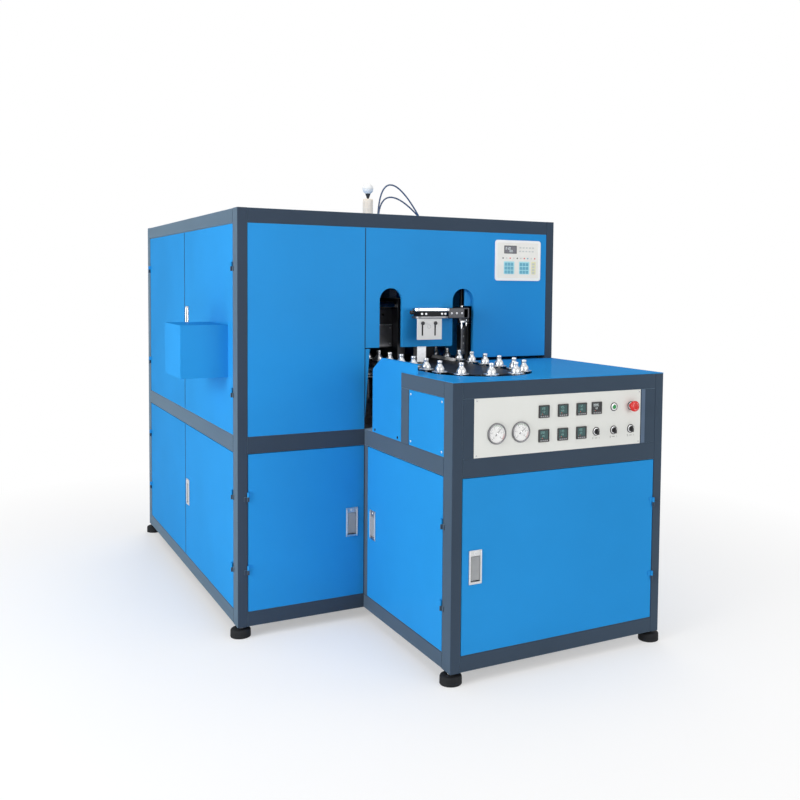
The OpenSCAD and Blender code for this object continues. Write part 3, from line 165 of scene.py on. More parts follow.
def make_camera():
    """The photograph's viewpoint, fitted to the frame's corners."""
    data = bpy.data.cameras.new("camera")
    data.lens = FOCAL * SENSOR_W / PHOTO_W
    data.shift_x = (PHOTO_W / 2 - CENTRE_X) / PHOTO_W
    data.shift_y = (CENTRE_Y - PHOTO_W / 2) / PHOTO_W
    data.clip_start, data.clip_end = 0.05, 60
    camera = linked("camera", data)
    camera.location = at(-1103.65, -3982.05, 1581.67)
    yaw, pitch, roll = (radians(a) for a in (28.678, -3.0916, 0.6147))
    camera.rotation_euler = (spin(-yaw) @ spin(pi / 2 + pitch, "X") @ spin(roll)).to_euler()
    bpy.context.scene.camera = camera


def area_light(name, place, target, size, power):
    """A rectangular lamp, in metres and watts, turned to its target."""
    data = bpy.data.lights.new(name, "AREA")
    data.shape = "RECTANGLE"
    data.size, data.size_y = size
    data.energy = power
    lamp = linked(name, data)
    lamp.location = place
    lamp.rotation_euler = (target - place).to_track_quat("-Z", "Y").to_euler()


def make_studio():
    """A pale floor, a near-white world and four large soft lamps."""
    world = bpy.data.worlds.new("studio")
    bpy.context.scene.world = world
    world.use_nodes = True
    tree = world.node_tree
    tree.nodes.clear()
    light = add_node(tree, "Background", {"Color": (1, 0.99, 0.98, 1), "Strength": 0.41})
    seen = add_node(tree, "Background", {"Color": (1, 1, 1, 1), "Strength": 1})
    add_node(tree, "OutputWorld", {"Surface": blended(tree, eye_ray(tree), light, seen)})

    mesh = bpy.data.meshes.new("floor")
    corners = [(x * FLOOR_R, y * FLOOR_R, 0) for x, y in ((-1, -1), (1, -1), (1, 1), (-1, 1))]
    mesh.from_pydata(corners, [], [(0, 1, 2, 3)])
    mesh.materials.append(floor_material())
    floor = linked("floor", mesh)

    middle = at(800, 200, 900)
    area_light("key", at(-5000, -1400, 2300), middle, (3.6, 3.0), 252)
    area_light("fill", at(3400, -8200, 2800), middle, (5.4, 4.2), 222)
    area_light("top", at(900, -300, 5800), middle, (4.4, 4.4), 90)
    area_light("rear", at(3600, 7800, 2600), middle, (4.6, 3.4), 150)


# Materials


def wire(tree, node, inputs):
    """Sets a node's inputs, by name or number, to values or to outputs of other nodes."""
    for key, value in inputs.items():
        if isinstance(value, bpy.types.NodeSocket):
            tree.links.new(value, node.inputs[key])
        else:
            node.inputs[key].default_value = value


def add_node(tree, kind, inputs, operation=None):
    """A new shader node with its inputs set."""
    made = tree.nodes.new("ShaderNode" + kind)
    if operation:
        made.operation = operation
    wire(tree, made, inputs)
    return made


def blended(tree, share, first, second):
    """Two shaders, with a share of the second."""
    inputs = {"Fac": share, 1: first.outputs[0], 2: second.outputs[0]}
    return add_node(tree, "MixShader", inputs).outputs[0]


def eye_ray(tree):
    """One where the eye looks: straight, in a mirror or through glass. Otherwise nought."""
    path = add_node(tree, "LightPath", {}).outputs
    seen = path["Is Camera Ray"]
    for kind in ("Is Glossy Ray", "Is Transmission Ray"):
        seen = add_node(tree, "Math", {0: seen, 1: path[kind]}, "MAXIMUM").outputs[0]
    return seen


class Finish:
    """A node material built on one Principled shader, in object coordinates."""

    def __init__(self, name, colour, rough, metal=0.0, **sockets):
        self.material = bpy.data.materials.new(name)
        self.material.use_nodes = True
        self.material.diffuse_color = (*colour, 1)
        self.tree = self.material.node_tree
        self.shader = self.tree.nodes["Principled BSDF"]
        self.colour = colour
        self.give({"Base Color": (*colour, 1), "Roughness": rough, "Metallic": metal})
        self.give({key.replace("_", " "): value for key, value in sockets.items()})
        self.coords = add_node(self.tree, "TexCoord", {}).outputs["Object"]

    def give(self, inputs):
        wire(self.tree, self.shader, inputs)

    def noise(self, scale, detail, stretch):
        mapping = add_node(self.tree, "Mapping", {"Vector": self.coords, "Scale": stretch})
        inputs = {"Vector": mapping.outputs["Vector"], "Scale": scale, "Detail": detail}
        return add_node(self.tree, "TexNoise", inputs).outputs["Fac"]

    def ranged(self, source, low, high, out_low, out_high):
        inputs = {"Value": source, "From Min": low, "From Max": high, "To Min": out_low,
                  "To Max": out_high}
        return add_node(self.tree, "MapRange", inputs).outputs["Result"]

    def patches(self, scale, detail, stretch, low, high):
        """Noise with its middle part spread from low to high."""
        return self.ranged(self.noise(scale, detail, stretch), 0.3, 0.7, low, high)

    def shade(self, scale, spread, detail=4.0, stretch=EVEN):
        """Uneven colour: the base colour a little darker and lighter in slow patches."""
        dark = (*(c * (1 - spread) for c in self.colour), 1)
        pale = (*(min(1, c * (1 + spread)) for c in self.colour), 1)
        mix = self.tree.nodes.new("ShaderNodeMix")
        mix.data_type = "RGBA"
        share = self.patches(scale, detail, stretch, 0, 1)
        wire(self.tree, mix, {MIX_FACTOR: share, MIX_A: dark, MIX_B: pale})
        self.give({"Base Color": mix.outputs[MIX_COLOUR]})

    def sheen_spread(self, scale, low, high, detail=3.0, stretch=EVEN):
        """Uneven roughness."""
        self.give({"Roughness": self.patches(scale, detail, stretch, low, high)})

    def relief(self, scale, strength, depth, detail=2.0, stretch=EVEN):
        """Fine bumps, depth in metres."""
        height = self.noise(scale, detail, stretch)
        inputs = {"Strength": strength, "Distance": depth, "Height": height}
        self.give({"Normal": add_node(self.tree, "Bump", inputs).outputs["Normal"]})


def floor_material():
    """Pale near the machine, with its soft shadow, and white to the eye further out."""
    finish = Finish("floor", (0.95, 0.95, 0.95), 0.6)
    finish.sheen_spread(2.0, 0.55, 0.68)
    tree = finish.tree
    reach = add_node(tree, "VectorMath", {0: finish.coords}, "LENGTH")
    share = finish.ranged(reach.outputs["Value"], 1.3, 3.4, 0.4, 1)
    times = add_node(tree, "Math", {0: eye_ray(tree), 1: share}, "MULTIPLY")
    white = add_node(tree, "Emission", {"Color": (1, 1, 1, 1)})
    surface = blended(tree, times.outputs[0], finish.shader, white)
    wire(tree, tree.nodes["Material Output"], {"Surface": surface})
    return finish.material


def enamel(name, colour, rough, spread=0.04, peel=0.35, gloss=0.05, body=0.0, bloom=0.0):
    """Sprayed enamel: slow colour drift, orange peel, uneven gloss and a faint dusty bloom."""
    finish = Finish(name, colour, rough, Specular_IOR_Level=body, Coat_Weight=gloss,
                    Coat_Roughness=0.15, Sheen_Weight=bloom, Sheen_Roughness=0.5,
                    Sheen_Tint=(0.55, 0.8, 1, 1))
    finish.shade(2.2, spread)
    finish.sheen_spread(6.0, rough - 0.05, rough + 0.08)
    finish.relief(420, peel, 0.00012)
    return finish.material


def steel(name, colour, rough, grain=(1, 1, 30), scale=60, strength=0.25):
    """Machined or brushed metal, with its grain across the stretched axis."""
    finish = Finish(name, colour, rough, 1.0)
    finish.shade(scale * 0.5, 0.07, 3, grain)
    finish.sheen_spread(scale, rough - 0.07, rough + 0.1, 3, grain)
    finish.relief(scale * 4, strength, 0.00005, 3, grain)
    return finish.material


def plastic(name, colour, rough, spread=0.05, bumps=900, strength=0.25, body=0.5):
    finish = Finish(name, colour, rough, Specular_IOR_Level=body)
    finish.shade(25, spread)
    finish.sheen_spread(60, rough - 0.06, rough + 0.08)
    finish.relief(bumps, strength, 0.00004)
    return finish.material


def glowing(name, colour, power):
    finish = Finish(name, colour, 0.4, Emission_Color=(*colour, 1), Emission_Strength=power)
    finish.shade(300, 0.12)
    return finish.material


def clear(name, colour, rough, see_through=0.15):
    finish = Finish(name, colour, rough, IOR=1.45, Alpha=see_through)
    finish.sheen_spread(40, rough * 0.5, rough * 1.5)
    return finish.material


def air_hose(name, colour):
    finish = Finish(name, colour, 0.22, Transmission_Weight=0.25, IOR=1.5)
    finish.shade(30, 0.08)
    return finish.material


BLUE = enamel("blue_enamel", (0.022, 0.262, 0.63), 0.42)
SLATE = enamel("slate_enamel", (0.032, 0.046, 0.071), 0.42, 0.07, 0.5, 0.02, 0.0, 0.7)
# A darker blue-grey that is painted shade in a joint
JOINT_SHADE = enamel("joint_shade_enamel", (0.105, 0.15, 0.22), 0.42, 0.07, 0.5, 0.1)
PALE = enamel("pale_enamel", (0.72, 0.73, 0.70), 0.4, 0.02, 0.25, 0.1)
WHITE = enamel("white_enamel", (0.80, 0.80, 0.79), 0.35, 0.02, 0.2, 0.1)
BLACK = enamel("black_enamel", (0.010, 0.010, 0.012), 0.55, 0.15, 0.6, 0.05, 0.15)
STEEL = steel("ground_steel", (0.56, 0.56, 0.57), 0.34)
ZINC = steel("zinc_steel", (0.62, 0.63, 0.65), 0.4, EVEN, 180, 0.3)
ALLOY = steel("machined_alloy", (0.60, 0.61, 0.62), 0.3, (1, 1, 18), 90, 0.2)
CHROME = steel("chrome", (0.86, 0.87, 0.88), 0.12, EVEN, 40, 0.08)
OILED = steel("oiled_steel", (0.22, 0.22, 0.23), 0.4, EVEN, 120, 0.3)
BLACKED = steel("blacked_steel", (0.075, 0.075, 0.08), 0.42, EVEN, 120, 0.3)
CAST = enamel("cast_enamel", (0.10, 0.12, 0.14), 0.5, 0.12, 1.0, 0.15)
DARK = plastic("black_plastic", (0.018, 0.018, 0.020), 0.48)
GREY = plastic("grey_plastic", (0.30, 0.31, 0.32), 0.5)
# Rubber for the feet; the same black also serves as painted shade in the joints between the blue
# sheets
RUBBER_AND_GAP_SHADE = plastic("rubber", (0.012, 0.013, 0.015), 0.7, 0.2, 500, 0.5, 0.2)
IVORY = plastic("ivory_plastic", (0.78, 0.77, 0.72), 0.42, 0.03)
SAND = plastic("porous_polymer", (0.92, 0.80, 0.66), 0.62, 0.05, 700, 0.9, 0.2)
WHITE_PLASTIC = plastic("white_plastic", (0.83, 0.83, 0.82), 0.35, 0.02)
RED = plastic("red_plastic", (0.62, 0.012, 0.010), 0.3, 0.08)
GREEN = plastic("green_plastic", (0.010, 0.24, 0.055), 0.3, 0.08)
KEY_BLUE = plastic("key_blue", (0.11, 0.37, 0.50), 0.4, 0.06)
KEY_CYAN = plastic("key_cyan", (0.36, 0.70, 0.76), 0.45, 0.05)
KEY_YELLOW = plastic("key_yellow", (0.74, 0.73, 0.42), 0.45, 0.05)
KEY_GREY = plastic("key_grey", (0.55, 0.57, 0.55), 0.45, 0.05)
DIAL = plastic("dial_white", (0.86, 0.86, 0.85), 0.55, 0.02)
INK = plastic("ink", (0.02, 0.02, 0.02), 0.6, 0.1)
SCREEN = plastic("display_glass", (0.035, 0.085, 0.085), 0.16, 0.1, 60, 0.05)
DIM_GLASS = plastic("dim_glass", (0.12, 0.12, 0.14), 0.2, 0.1, 60, 0.05)
DIGIT_RED = glowing("digit_red", (0.8, 0.10, 0.05), 0.3)
DIGIT_GREEN = glowing("digit_green", (0.16, 0.36, 0.34), 0.15)
DIGIT_WHITE = glowing("digit_white", (0.75, 0.85, 0.85), 0.3)
LENS = clear("lens_glass", (0.97, 0.98, 0.98), 0.04)
LAMP = clear("quartz", (0.95, 0.94, 0.90), 0.08, 0.6)
HOSE = air_hose("air_hose", (0.030, 0.075, 0.17))
BOWL = clear("clear_bowl", (0.72, 0.82, 0.88), 0.12, 0.55)


# Shapes


def ring(radius, steps=40, centre=(0, 0), start=0.0, turn=tau):
    """Points of a circle, or of an arc with both its ends."""
    count = steps if turn == tau else steps + 1
    return [(centre[0] + radius * cos(start + turn * k / steps),
             centre[1] + radius * sin(start + turn * k / steps)) for k in range(count)]


def rounded(x0, y0, x1, y1, r, steps=6):
    """Outline of a rectangle with rounded corners."""
    loop = []
    for cx, cy, a in ((x1 - r, y0 + r, -90), (x1 - r, y1 - r, 0), (x0 + r, y1 - r, 90),
                      (x0 + r, y0 + r, 180)):
        loop += ring(r, steps, (cx, cy), radians(a), pi / 2)
    return loop


def skin(part, rings, steps):
    """Closes the space between rings of vertices; a ring of one vertex is a tip."""
    for low, high in zip(rings, rings[1:]):
        for k in range(steps):
            j = (k + 1) % steps
            corners = (low[k % len(low)], low[j % len(low)],
                       high[j % len(high)], high[k % len(high)])
            kept = list(dict.fromkeys(corners))
            if len(kept) > 2:
                part.faces.new(kept)


def sharp_edges(mesh, angle):
    return [e for e in mesh.edges if len(e.link_faces) == 2 and e.calc_face_angle(0) > angle]


def round_edges(mesh, edges, radius, steps=2, clamp=False):
    bmesh.ops.bevel(mesh, geom=edges, offset=radius, segments=steps, profile=0.5, affect="EDGES",
                    clamp_overlap=clamp)


class Shape:
    """A mesh built from solids in millimetres, in axes of its own and of each solid."""

    def __init__(self, name, here=STILL):
        self.name, self.here = name, here
        self.mesh = bmesh.new()
        self.materials = []

    def take(self, part, material, local):
        """Merges a small bmesh into this one, with its own material."""
        if material not in self.materials:
            self.materials.append(material)
        slot = self.materials.index(material)
        for face in part.faces:
            face.material_index = slot
        part.transform(TO_ROW @ (self.here @ local))
        holder = bpy.data.meshes.new("part")
        part.to_mesh(holder)
        part.free()
        self.mesh.from_mesh(holder)
        bpy.data.meshes.remove(holder)

    def box(self, low, high, material, bevel=0.8, steps=2, along=None, local=STILL):
        """A box; its edges are rounded, or only those that run along one axis."""
        part = bmesh.new()
        bmesh.ops.create_cube(part, size=1)
        size = Vector(high) - Vector(low)
        middle = (Vector(high) + Vector(low)) / 2
        for vert in part.verts:
            vert.co = Vector(a * b for a, b in zip(vert.co, size)) + middle
        if bevel:
            edges = [e for e in part.edges if along is None or
                     abs((e.verts[1].co - e.verts[0].co)["xyz".index(along)]) > NIL]
            round_edges(part, edges, min(bevel, min(size) * 0.45), steps)
        self.take(part, material, local)

    def turned(self, profile, material, local=STILL, steps=40):
        """A solid of revolution round local Z from (radius, height) points."""
        part = bmesh.new()
        rings = []
        for radius, height in profile:
            spots = ring(radius, steps) if radius > NIL else [(0, 0)]
            rings.append([part.verts.new((x, y, height)) for x, y in spots])
        skin(part, rings, steps)
        bmesh.ops.recalc_face_normals(part, faces=part.faces)
        self.take(part, material, local)

    def plate(self, outline, thick, material, local=STILL, bevel=0, holes=()):
        """A flat plate with the outline in local XY, from z = 0 up."""
        part = bmesh.new()
        for loop in (outline, *holes):
            verts = [part.verts.new((x, y, 0)) for x, y in loop]
            for first, second in zip(verts, verts[1:] + verts[:1]):
                part.edges.new((first, second))
        bmesh.ops.triangle_fill(part, edges=part.edges[:], use_beauty=True)
        bmesh.ops.dissolve_limit(part, angle_limit=0.01, verts=part.verts, edges=part.edges)
        grown = bmesh.ops.extrude_face_region(part, geom=part.faces[:])
        for vert in (v for v in grown["geom"] if isinstance(v, bmesh.types.BMVert)):
            vert.co.z += thick
        bmesh.ops.recalc_face_normals(part, faces=part.faces)
        if bevel:
            round_edges(part, sharp_edges(part, ROUND_PLATE), bevel)
        self.take(part, material, local)

    def swept(self, path, radius, material, steps=12, local=STILL):
        """A round bar along the points of a path."""
        part = bmesh.new()
        rings = []
        points = [Vector(p) for p in path]
        side = (points[1] - points[0]).normalized().orthogonal().normalized()
        for k, point in enumerate(points):
            ahead = (points[min(k + 1, len(points) - 1)] - points[max(k - 1, 0)]).normalized()
            side = (side - ahead * side.dot(ahead)).normalized()
            other = ahead.cross(side)
            rings.append([part.verts.new(point + radius * (x * side + y * other))
                          for x, y in ring(1, steps)])
        skin(part, rings, steps)
        part.faces.new(rings[0][::-1])
        part.faces.new(rings[-1])
        bmesh.ops.recalc_face_normals(part, faces=part.faces)
        self.take(part, material, local)

    def done(self, replaces=(), body="machine"):
        return settle(self.mesh, self.materials, self.name, body, replaces)


def smooth(data, materials, angle):
    """Adds a mesh's materials, and smooths it between edges sharper than an angle."""
    for material in materials:
        data.materials.append(material)
    for polygon in data.polygons:
        polygon.use_smooth = True
    data.set_sharp_from_angle(angle=radians(angle))


def settle(mesh, materials, name, body, replaces):
    """Makes a piece of a bmesh, which rides on a body and stands for CAD nodes."""
    data = bpy.data.meshes.new(name)
    mesh.to_mesh(data)
    mesh.free()
    smooth(data, materials, HARD_PIECE)
    piece = linked(name, data)
    weighted = piece.modifiers.new("face_normals", "WEIGHTED_NORMAL")
    weighted.keep_sharp = True
    weighted.weight = 60
    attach(piece, body)
    if replaces:
        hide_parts(*replaces)
    return piece


def dressed(node, material, bevel, body="machine", paint=None, steps=2):
    """A copy of a CAD node with its edges rounded; paint(place) may pick another material."""
    mesh = bmesh.new()
    mesh.from_mesh(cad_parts[node].data)
    bmesh.ops.remove_doubles(mesh, verts=mesh.verts, dist=2e-6)
    round_edges(mesh, sharp_edges(mesh, ROUND_NODE), bevel / 1000, steps, True)
    materials = [material]
    if paint:
        for face in mesh.faces:
            pick = paint(back(face.calc_center_median())) or material
            if pick not in materials:
                materials.append(pick)
            face.material_index = materials.index(pick)
    settle(mesh, materials, node + "_finish", body, (node,))


def coat(material, *nodes):
    """Gives a better material to CAD nodes that are shown as they are."""
    for node in nodes:
        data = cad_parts[node].data
        data.materials.clear()
        smooth(data, (material,), HARD_NODE)


def axes(start, right, out):
    """Local axes from a start: X to the right, Y up, Z out."""
    return Matrix.Translation(start) @ Matrix((right, (0, 0, 1), out)).transposed().to_4x4()


def facing(face, u, z, depth=0):
    """Local axes on a face of the machine: X to the right, Y up, Z out of the face."""
    start, out, across = (Vector(v) for v in FACES[face])
    spot = start + across * u + Vector((0, 0, z)) + out * depth
    return axes(spot, (-out.y, out.x, 0), out)


# Seven-segment figures: the bars of each sign, and the ends of each bar in its square
SEGMENTS = {"0": "abcdef", "1": "bc", "2": "abged", "3": "abgcd", "4": "fgbc", "5": "afgcd",
            "6": "afgedc", "7": "abc", "8": "abcdefg", "9": "abcdfg"}
BARS = {"a": (0, 1, 1, 1), "d": (0, 0, 1, 0), "g": (0, 0.5, 1, 0.5), "f": (0, 0.5, 0, 1),
        "b": (1, 0.5, 1, 1), "e": (0, 0, 0, 0.5), "c": (1, 0, 1, 0.5)}


def digits(shape, text, x, y, height, material, lift=0):
    """Seven-segment figures from the left, standing on y."""
    wide, thick, pitch = height * 0.5, height * 0.11, height * 0.74
    for n, sign in enumerate(text):
        left = x + n * pitch
        for key in SEGMENTS[sign]:
            ax, ay, bx, by = BARS[key]
            side, end = (thick / 2 if low == high else -thick * 0.35
                         for low, high in ((ax, bx), (ay, by)))
            shape.box((left + ax * wide - side, y + ay * height - end, lift),
                      (left + bx * wide + side, y + by * height + end, lift + 0.25), material, 0)


# Frame


def tube(shape, low, high, along):
    """A box tube with its long edges rounded."""
    shape.box(low, high, SLATE, 3.5, 3, along)


def make_frame():
    """The cabinet's and the table's frames of welded box tubes."""
    right, last = BODY_W - RAIL_T, BODY_W - POST_W
    base, waist = (FOOT_H, BASE_TOP), (MID_Z, MID_TOP)
    cabinet = Shape("main_frame_tubes")
    for x in (0, last):
        for y in (0, BODY_D - POST_D):
            tube(cabinet, (x, y, FOOT_H), (x + POST_W, y + POST_D, BODY_H), "z")
    for low, high in (base, waist, (TOP_Z, BODY_H)):
        for y in (0, BODY_D - RAIL_T):
            tube(cabinet, (POST_W, y, low), (last, y + RAIL_T, high), "x")
        for x in (0, right):
            tube(cabinet, (x, POST_D, low), (x + RAIL_T, BODY_D - POST_D, high), "y")
    tube(cabinet, (TABLE_X, 0, BASE_TOP), (TABLE_X + POST_W, RAIL_T, MID_Z), "z")
    for y in (BED_RAIL_Y, REAR_Y - RAIL_T / 2):
        tube(cabinet, (RAIL_T, y, MID_Z), (right, y + RAIL_T, MID_TOP), "x")
    cabinet.done(("main_frame",))

    table = Shape("table_frame_tubes")
    front, rear, end, left = -TABLE_D, -TABLE_D + POST_D, -WELD_GAP, TABLE_X + RAIL_T
    for x in (TABLE_X, last):
        tube(table, (x, front, FOOT_H), (x + POST_W, rear, TABLE_TOP_Z), "z")
    for low, high in (base, waist, (TABLE_RAIL_Z, TABLE_TOP_Z)):
        tube(table, (TABLE_X + POST_W, front, low), (last, front + RAIL_T, high), "x")
        tube(table, (right, rear, low), (BODY_W, end, high), "y")
    for low, high in (base, waist):
        tube(table, (TABLE_X, rear, low), (left, end, high), "y")
    near, far = -MID_POST_Y, -MID_POST_Y + MID_POST_W
    tube(table, (TABLE_X, rear, TABLE_RAIL_Z), (left, far, TABLE_TOP_Z), "y")
    tube(table, (TABLE_X, near, MID_TOP), (left, far, TABLE_RAIL_Z), "z")
    tube(table, (left, TURN_Y - RAIL_T / 2, MID_Z), (right, TURN_Y + RAIL_T / 2, MID_TOP), "x")
    for x0, x1 in ((TABLE_X + POST_W, INST_LEFT), (INST_RIGHT, last)):
        table.box((x0, TABLE_FACE_Y, MID_TOP), (x1, TABLE_FACE_Y + 3, TABLE_RAIL_Z), SLATE, 0.5)
    table.done(("table_frame",))

    strip = Shape("corner_strip")
    low, high = BASE_TOP + 0.3, MID_Z - 0.3
    strip.box((601, -36.4, low), (603.5, -0.4, high), SLATE, 0.6)
    strip.box((601, -2.9, low), (640, -0.4, high), SLATE, 0.6)
    strip.done()


def make_feet():
    """Moulded rubber cups with a zinc stud and lock nut."""
    shape = Shape("levelling_feet_detail")
    x, y = POST_W / 2, POST_D / 2
    for spot in ((x, y), (x, BODY_D - y), (BODY_W - x, y), (BODY_W - x, BODY_D - y),
                 (TABLE_X + x, -TABLE_D + y), (BODY_W - x, -TABLE_D + y)):
        here = shift(*spot, 0)
        shape.turned([(0, 0.4), (41, 0.4), (44, 1.4), (45, 3.5), (45, 9), (44.2, 10.2), (44.2, 12),
                      (45, 13.2), (44.4, 30), (42.5, 34.5), (38, 37.5), (24, 38.5), (18, 38)],
                     RUBBER_AND_GAP_SHADE, here, 48)
        shape.turned([(8, 37), (8, FOOT_H + 2), (0, FOOT_H + 2)], ZINC, here, 24)
        shape.turned([(0, 38), (13.2, 38), (15.2, 39.2), (15.2, 48.8), (13.2, 50), (0, 50)], ZINC,
                     here, 6)
    shape.done(("levelling_feet",))


# Panels and doors


def door_paint(place, door):
    """Zinc for the latch's housing; the sheet and its hinge leaves keep their blue."""
    latch, face, u, z = door
    start, out, across = (Vector(v) for v in FACES[face])
    off = abs((place - start).dot(out)) > 0.05
    near = abs(place.dot(across) - u) < LATCH_W / 2 + 1 and abs(place.z - z) < LATCH_H / 2 + 1
    return ZINC if latch and off and near else None


def make_panels():
    """The blue sheets, the black plate in the table, the doors and their pins."""
    for node in ("fixed_panels", "slotted_panel", "side_cover", "roof_panel"):
        dressed(node, BLUE, 0.5)
    dressed("table_top", BLUE, 0.6)
    dressed("centre_plate", BLACK, 0.8,
            paint=lambda place: ZINC if place.z > TABLE_H + 0.4 else None)
    dressed("cylinder_cover", BLUE, 1.6, "upper_front_door", steps=3)
    for node, door in DOORS.items():
        dressed(node, BLUE, 0.5, node,
                lambda place, door=door: door_paint(place, door))
    dressed("hinge_pins", SLATE, 0.5)


def make_gap_shade_strips():
    """Black strips in the joints between the blue sheets: painted shade of the gaps there."""
    for node in ("lower_rear_door", "upper_rear_door"):
        low, high = (back(corner_place) for corner_place in map(Vector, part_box(node)))
        door_gap_shade = Shape(node + "_gap_shade_strip")
        door_gap_shade.box((0.2, low.y + 0.3, low.z + 3), (2.4, low.y + 6, high.z - 3), RUBBER_AND_GAP_SHADE, 0.6)
        door_gap_shade.done(body=node)
    joint = Shape("front_joint_gap_shade_strip")
    joint.box((598, 0.2, MID_TOP + 3), (601.6, 3, TOP_Z - 3), RUBBER_AND_GAP_SHADE, 0.5)
    joint.done()


def make_latches():
    """Cast levers with a grip edge, in the sprung pans of the doors."""
    wide, tall = LATCH_W / 2 + 0.4, LATCH_H / 2 + 0.4
    for node, (latch, *spot) in DOORS.items():
        if not latch:
            continue
        here = facing(*spot)
        shape = Shape(latch + "_lever", here)
        shape.box((-20, -49, -0.5), (20, 43, 3), GREY, 1.6, 3)
        shape.box((-17, 33, 2.6), (17, 40, 4.4), GREY)
        shape.box((-14, -20, 2.8), (14, 24, 3.5), GREY, 0.6)
        across = shift(0, -51.5, -6) @ spin(pi / 2, "Y")
        shape.turned([(0, -20.4), (4.4, -20.4), (4.4, 20.4), (0, 20.4)], ZINC, across, 24)
        shape.turned([(0, -22.2), (2.5, -22.2), (2.5, 22.2), (0, 22.2)], ZINC, across, 20)
        shape.box((-20, -52.5, -4), (20, -48, 2.8), GREY)
        shape.done((latch,), latch)

        trim = Shape(node + "_latch_trim", here)
        trim.plate(rounded(-wide, -tall, wide, tall, 5), 0.7, ALLOY, shift(0, 0, 2.95), 0.25,
                   [rounded(-21, -58.5, 21, 44.5, 2.5)])
        for x in (-25.2, 25.2):
            trim.swept([(x, -60, 3.9), (x, 60, 3.9)], 2, CHROME)
        knob = shift(0, 55.5, 3.4)
        trim.turned([(7.4, 0), (7.4, 1.6), (6.4, 2.3), (5.9, 2.3), (5.9, 1.2), (5.2, 1.2),
                     (5, 2), (0, 2.2)], CHROME, knob, 32)
        trim.box((-0.7, -3.6, 2), (0.7, 3.6, 2.35), INK, 0.2, local=knob)
        trim.done(body=node)


def screw(shape, here, head=5, material=ZINC):
    """A pan head with a cross recess."""
    shape.turned([(head, 0), (head, 0.9), (head * 0.82, 2.1), (head * 0.45, 2.8), (0, 3)],
                 material, here, 24)
    for turn in (0, pi / 2):
        shape.box((-head * 0.42, -0.5, 2.55), (head * 0.42, 0.5, 3.05), INK, 0,
                  local=here @ spin(turn))


def border(wide, tall, columns, rows, edge_x, edge_y):
    """Places round the edge of a sheet, in local X and Y."""
    return [(edge_x + (wide - 2 * edge_x) * i / columns,
             edge_y + (tall - 2 * edge_y) * j / rows, 0)
            for i in range(columns + 1) for j in range(rows + 1)
            if i in (0, columns) or j in (0, rows)]


def make_screws():
    """The cover's black screws and the side panel's zinc ones, then those of the plain sheets."""
    shape = Shape("panel_screw_heads")
    for u in (-120, -360):
        screw(shape, facing("table_side", u, MID_TOP + 14, 1), 6, BLACK)
    for u in (-MID_POST_Y - 18, -TABLE_D + POST_D + 18):
        for z in (MID_TOP + 18, TABLE_RAIL_Z - 18):
            screw(shape, facing("table_side", u, z))
    shape.done(("panel_screws",))

    rows = Shape("sheet_screw_heads")
    lower, upper, table = (BASE_TOP, MID_Z), (MID_TOP, TOP_Z), (MID_TOP, TABLE_RAIL_Z)
    side, rear = BODY_W - FACE_RECESS, BODY_D - FACE_RECESS
    to_rear, to_left, right, behind = (0, 1, 0), (-1, 0, 0), (1, 0, 0), (0, 1, 0)
    fields = [((side, POST_D), to_rear, right, BODY_D - 2 * POST_D, (lower, upper)),
              ((BODY_W - POST_W, rear), to_left, behind, BODY_W - 2 * POST_W, (lower, upper)),
              ((side, -TABLE_D + POST_D), to_rear, right, TABLE_D - POST_D, (lower, table))]
    for spot, along, out, wide, heights in fields:
        for low, high in heights:
            columns, lines = (max(1, round(span / SCREW_SPAN)) for span in (wide, high - low))
            here = axes((*spot, low), along, out)
            for place in border(wide, high - low, columns, lines, 16, 16):
                screw(rows, here @ shift(*place), 4.6)
    roof = shift(RAIL_T, RAIL_T, BODY_H - FACE_RECESS)
    for place in border(BODY_W - 2 * RAIL_T, BODY_D - 2 * RAIL_T, 4, 5, 18, 36):
        screw(rows, roof @ shift(*place), 4.6)
    rows.done()


# Instruments


def make_gauges():
    """Dial gauges with scale marks, figures, a needle and a domed lens."""
    start, span = radians(225), radians(270)
    needle = [(-11, -1.9), (-11, 1.9), (0, 1.3), (27, 0.4), (27, -0.4), (0, -1.3)]
    for n, (x, z) in enumerate(GAUGES):
        shape = Shape(f"gauge_{n + 1}", facing("table_front", x, z))
        shape.turned([(37, -30), (37, 0), (42, 0), (42.6, 1.2), (42.4, 5.5), (41, 8.2), (38.8, 9),
                      (36.8, 8.2), (35.6, 5)], OILED, steps=64)
        shape.turned([(36, 4.2), (0, 4.2)], DIAL, steps=64)
        shape.turned([(0, -32), (34, -32), (37, -29)], DARK, steps=48)
        shape.turned([(0, -50), (7, -50), (7, -31)], ZINC, steps=20)
        for k in range(51):
            inner, half = (25.5, 0.55) if k % 10 == 0 else (27.5 if k % 5 == 0 else 29, 0.25)
            shape.box((inner, -half, 4.2), (31.5, half, 4.4), INK, 0,
                      local=spin(start - span * k / 50))
        for k in range(6):
            angle = start - span * k / 5
            text = str(k * 2)
            digits(shape, text, 20.5 * cos(angle) - 1.7 * len(text) - 0.2,
                   20.5 * sin(angle) - 2.4, 4.8, INK, 4.2)
        for a, b, colour in ((40, 120, GREEN), (-45, 0, RED)):
            arc = ring(33.6, 20, (0, 0), radians(a), radians(b - a))
            arc += ring(32.2, 20, (0, 0), radians(b), radians(a - b))
            shape.plate(arc, 0.15, colour, shift(0, 0, 4.2))
        shape.plate(needle, 0.5, INK, spin(radians((48, 38)[n])) @ shift(0, 0, 5.4))
        shape.turned([(3.4, 5), (3.4, 6.6), (2.4, 7.1), (0, 7.1)], CHROME, steps=24)
        shape.done(("pressure_gauges",) if n == 0 else ())
        lens = Shape(f"gauge_{n + 1}_lens", shape.here)
        lens.turned([(36.6, 6.6), (25, 8), (12, 8.8), (0, 9)], LENS, steps=64)
        lens.done()


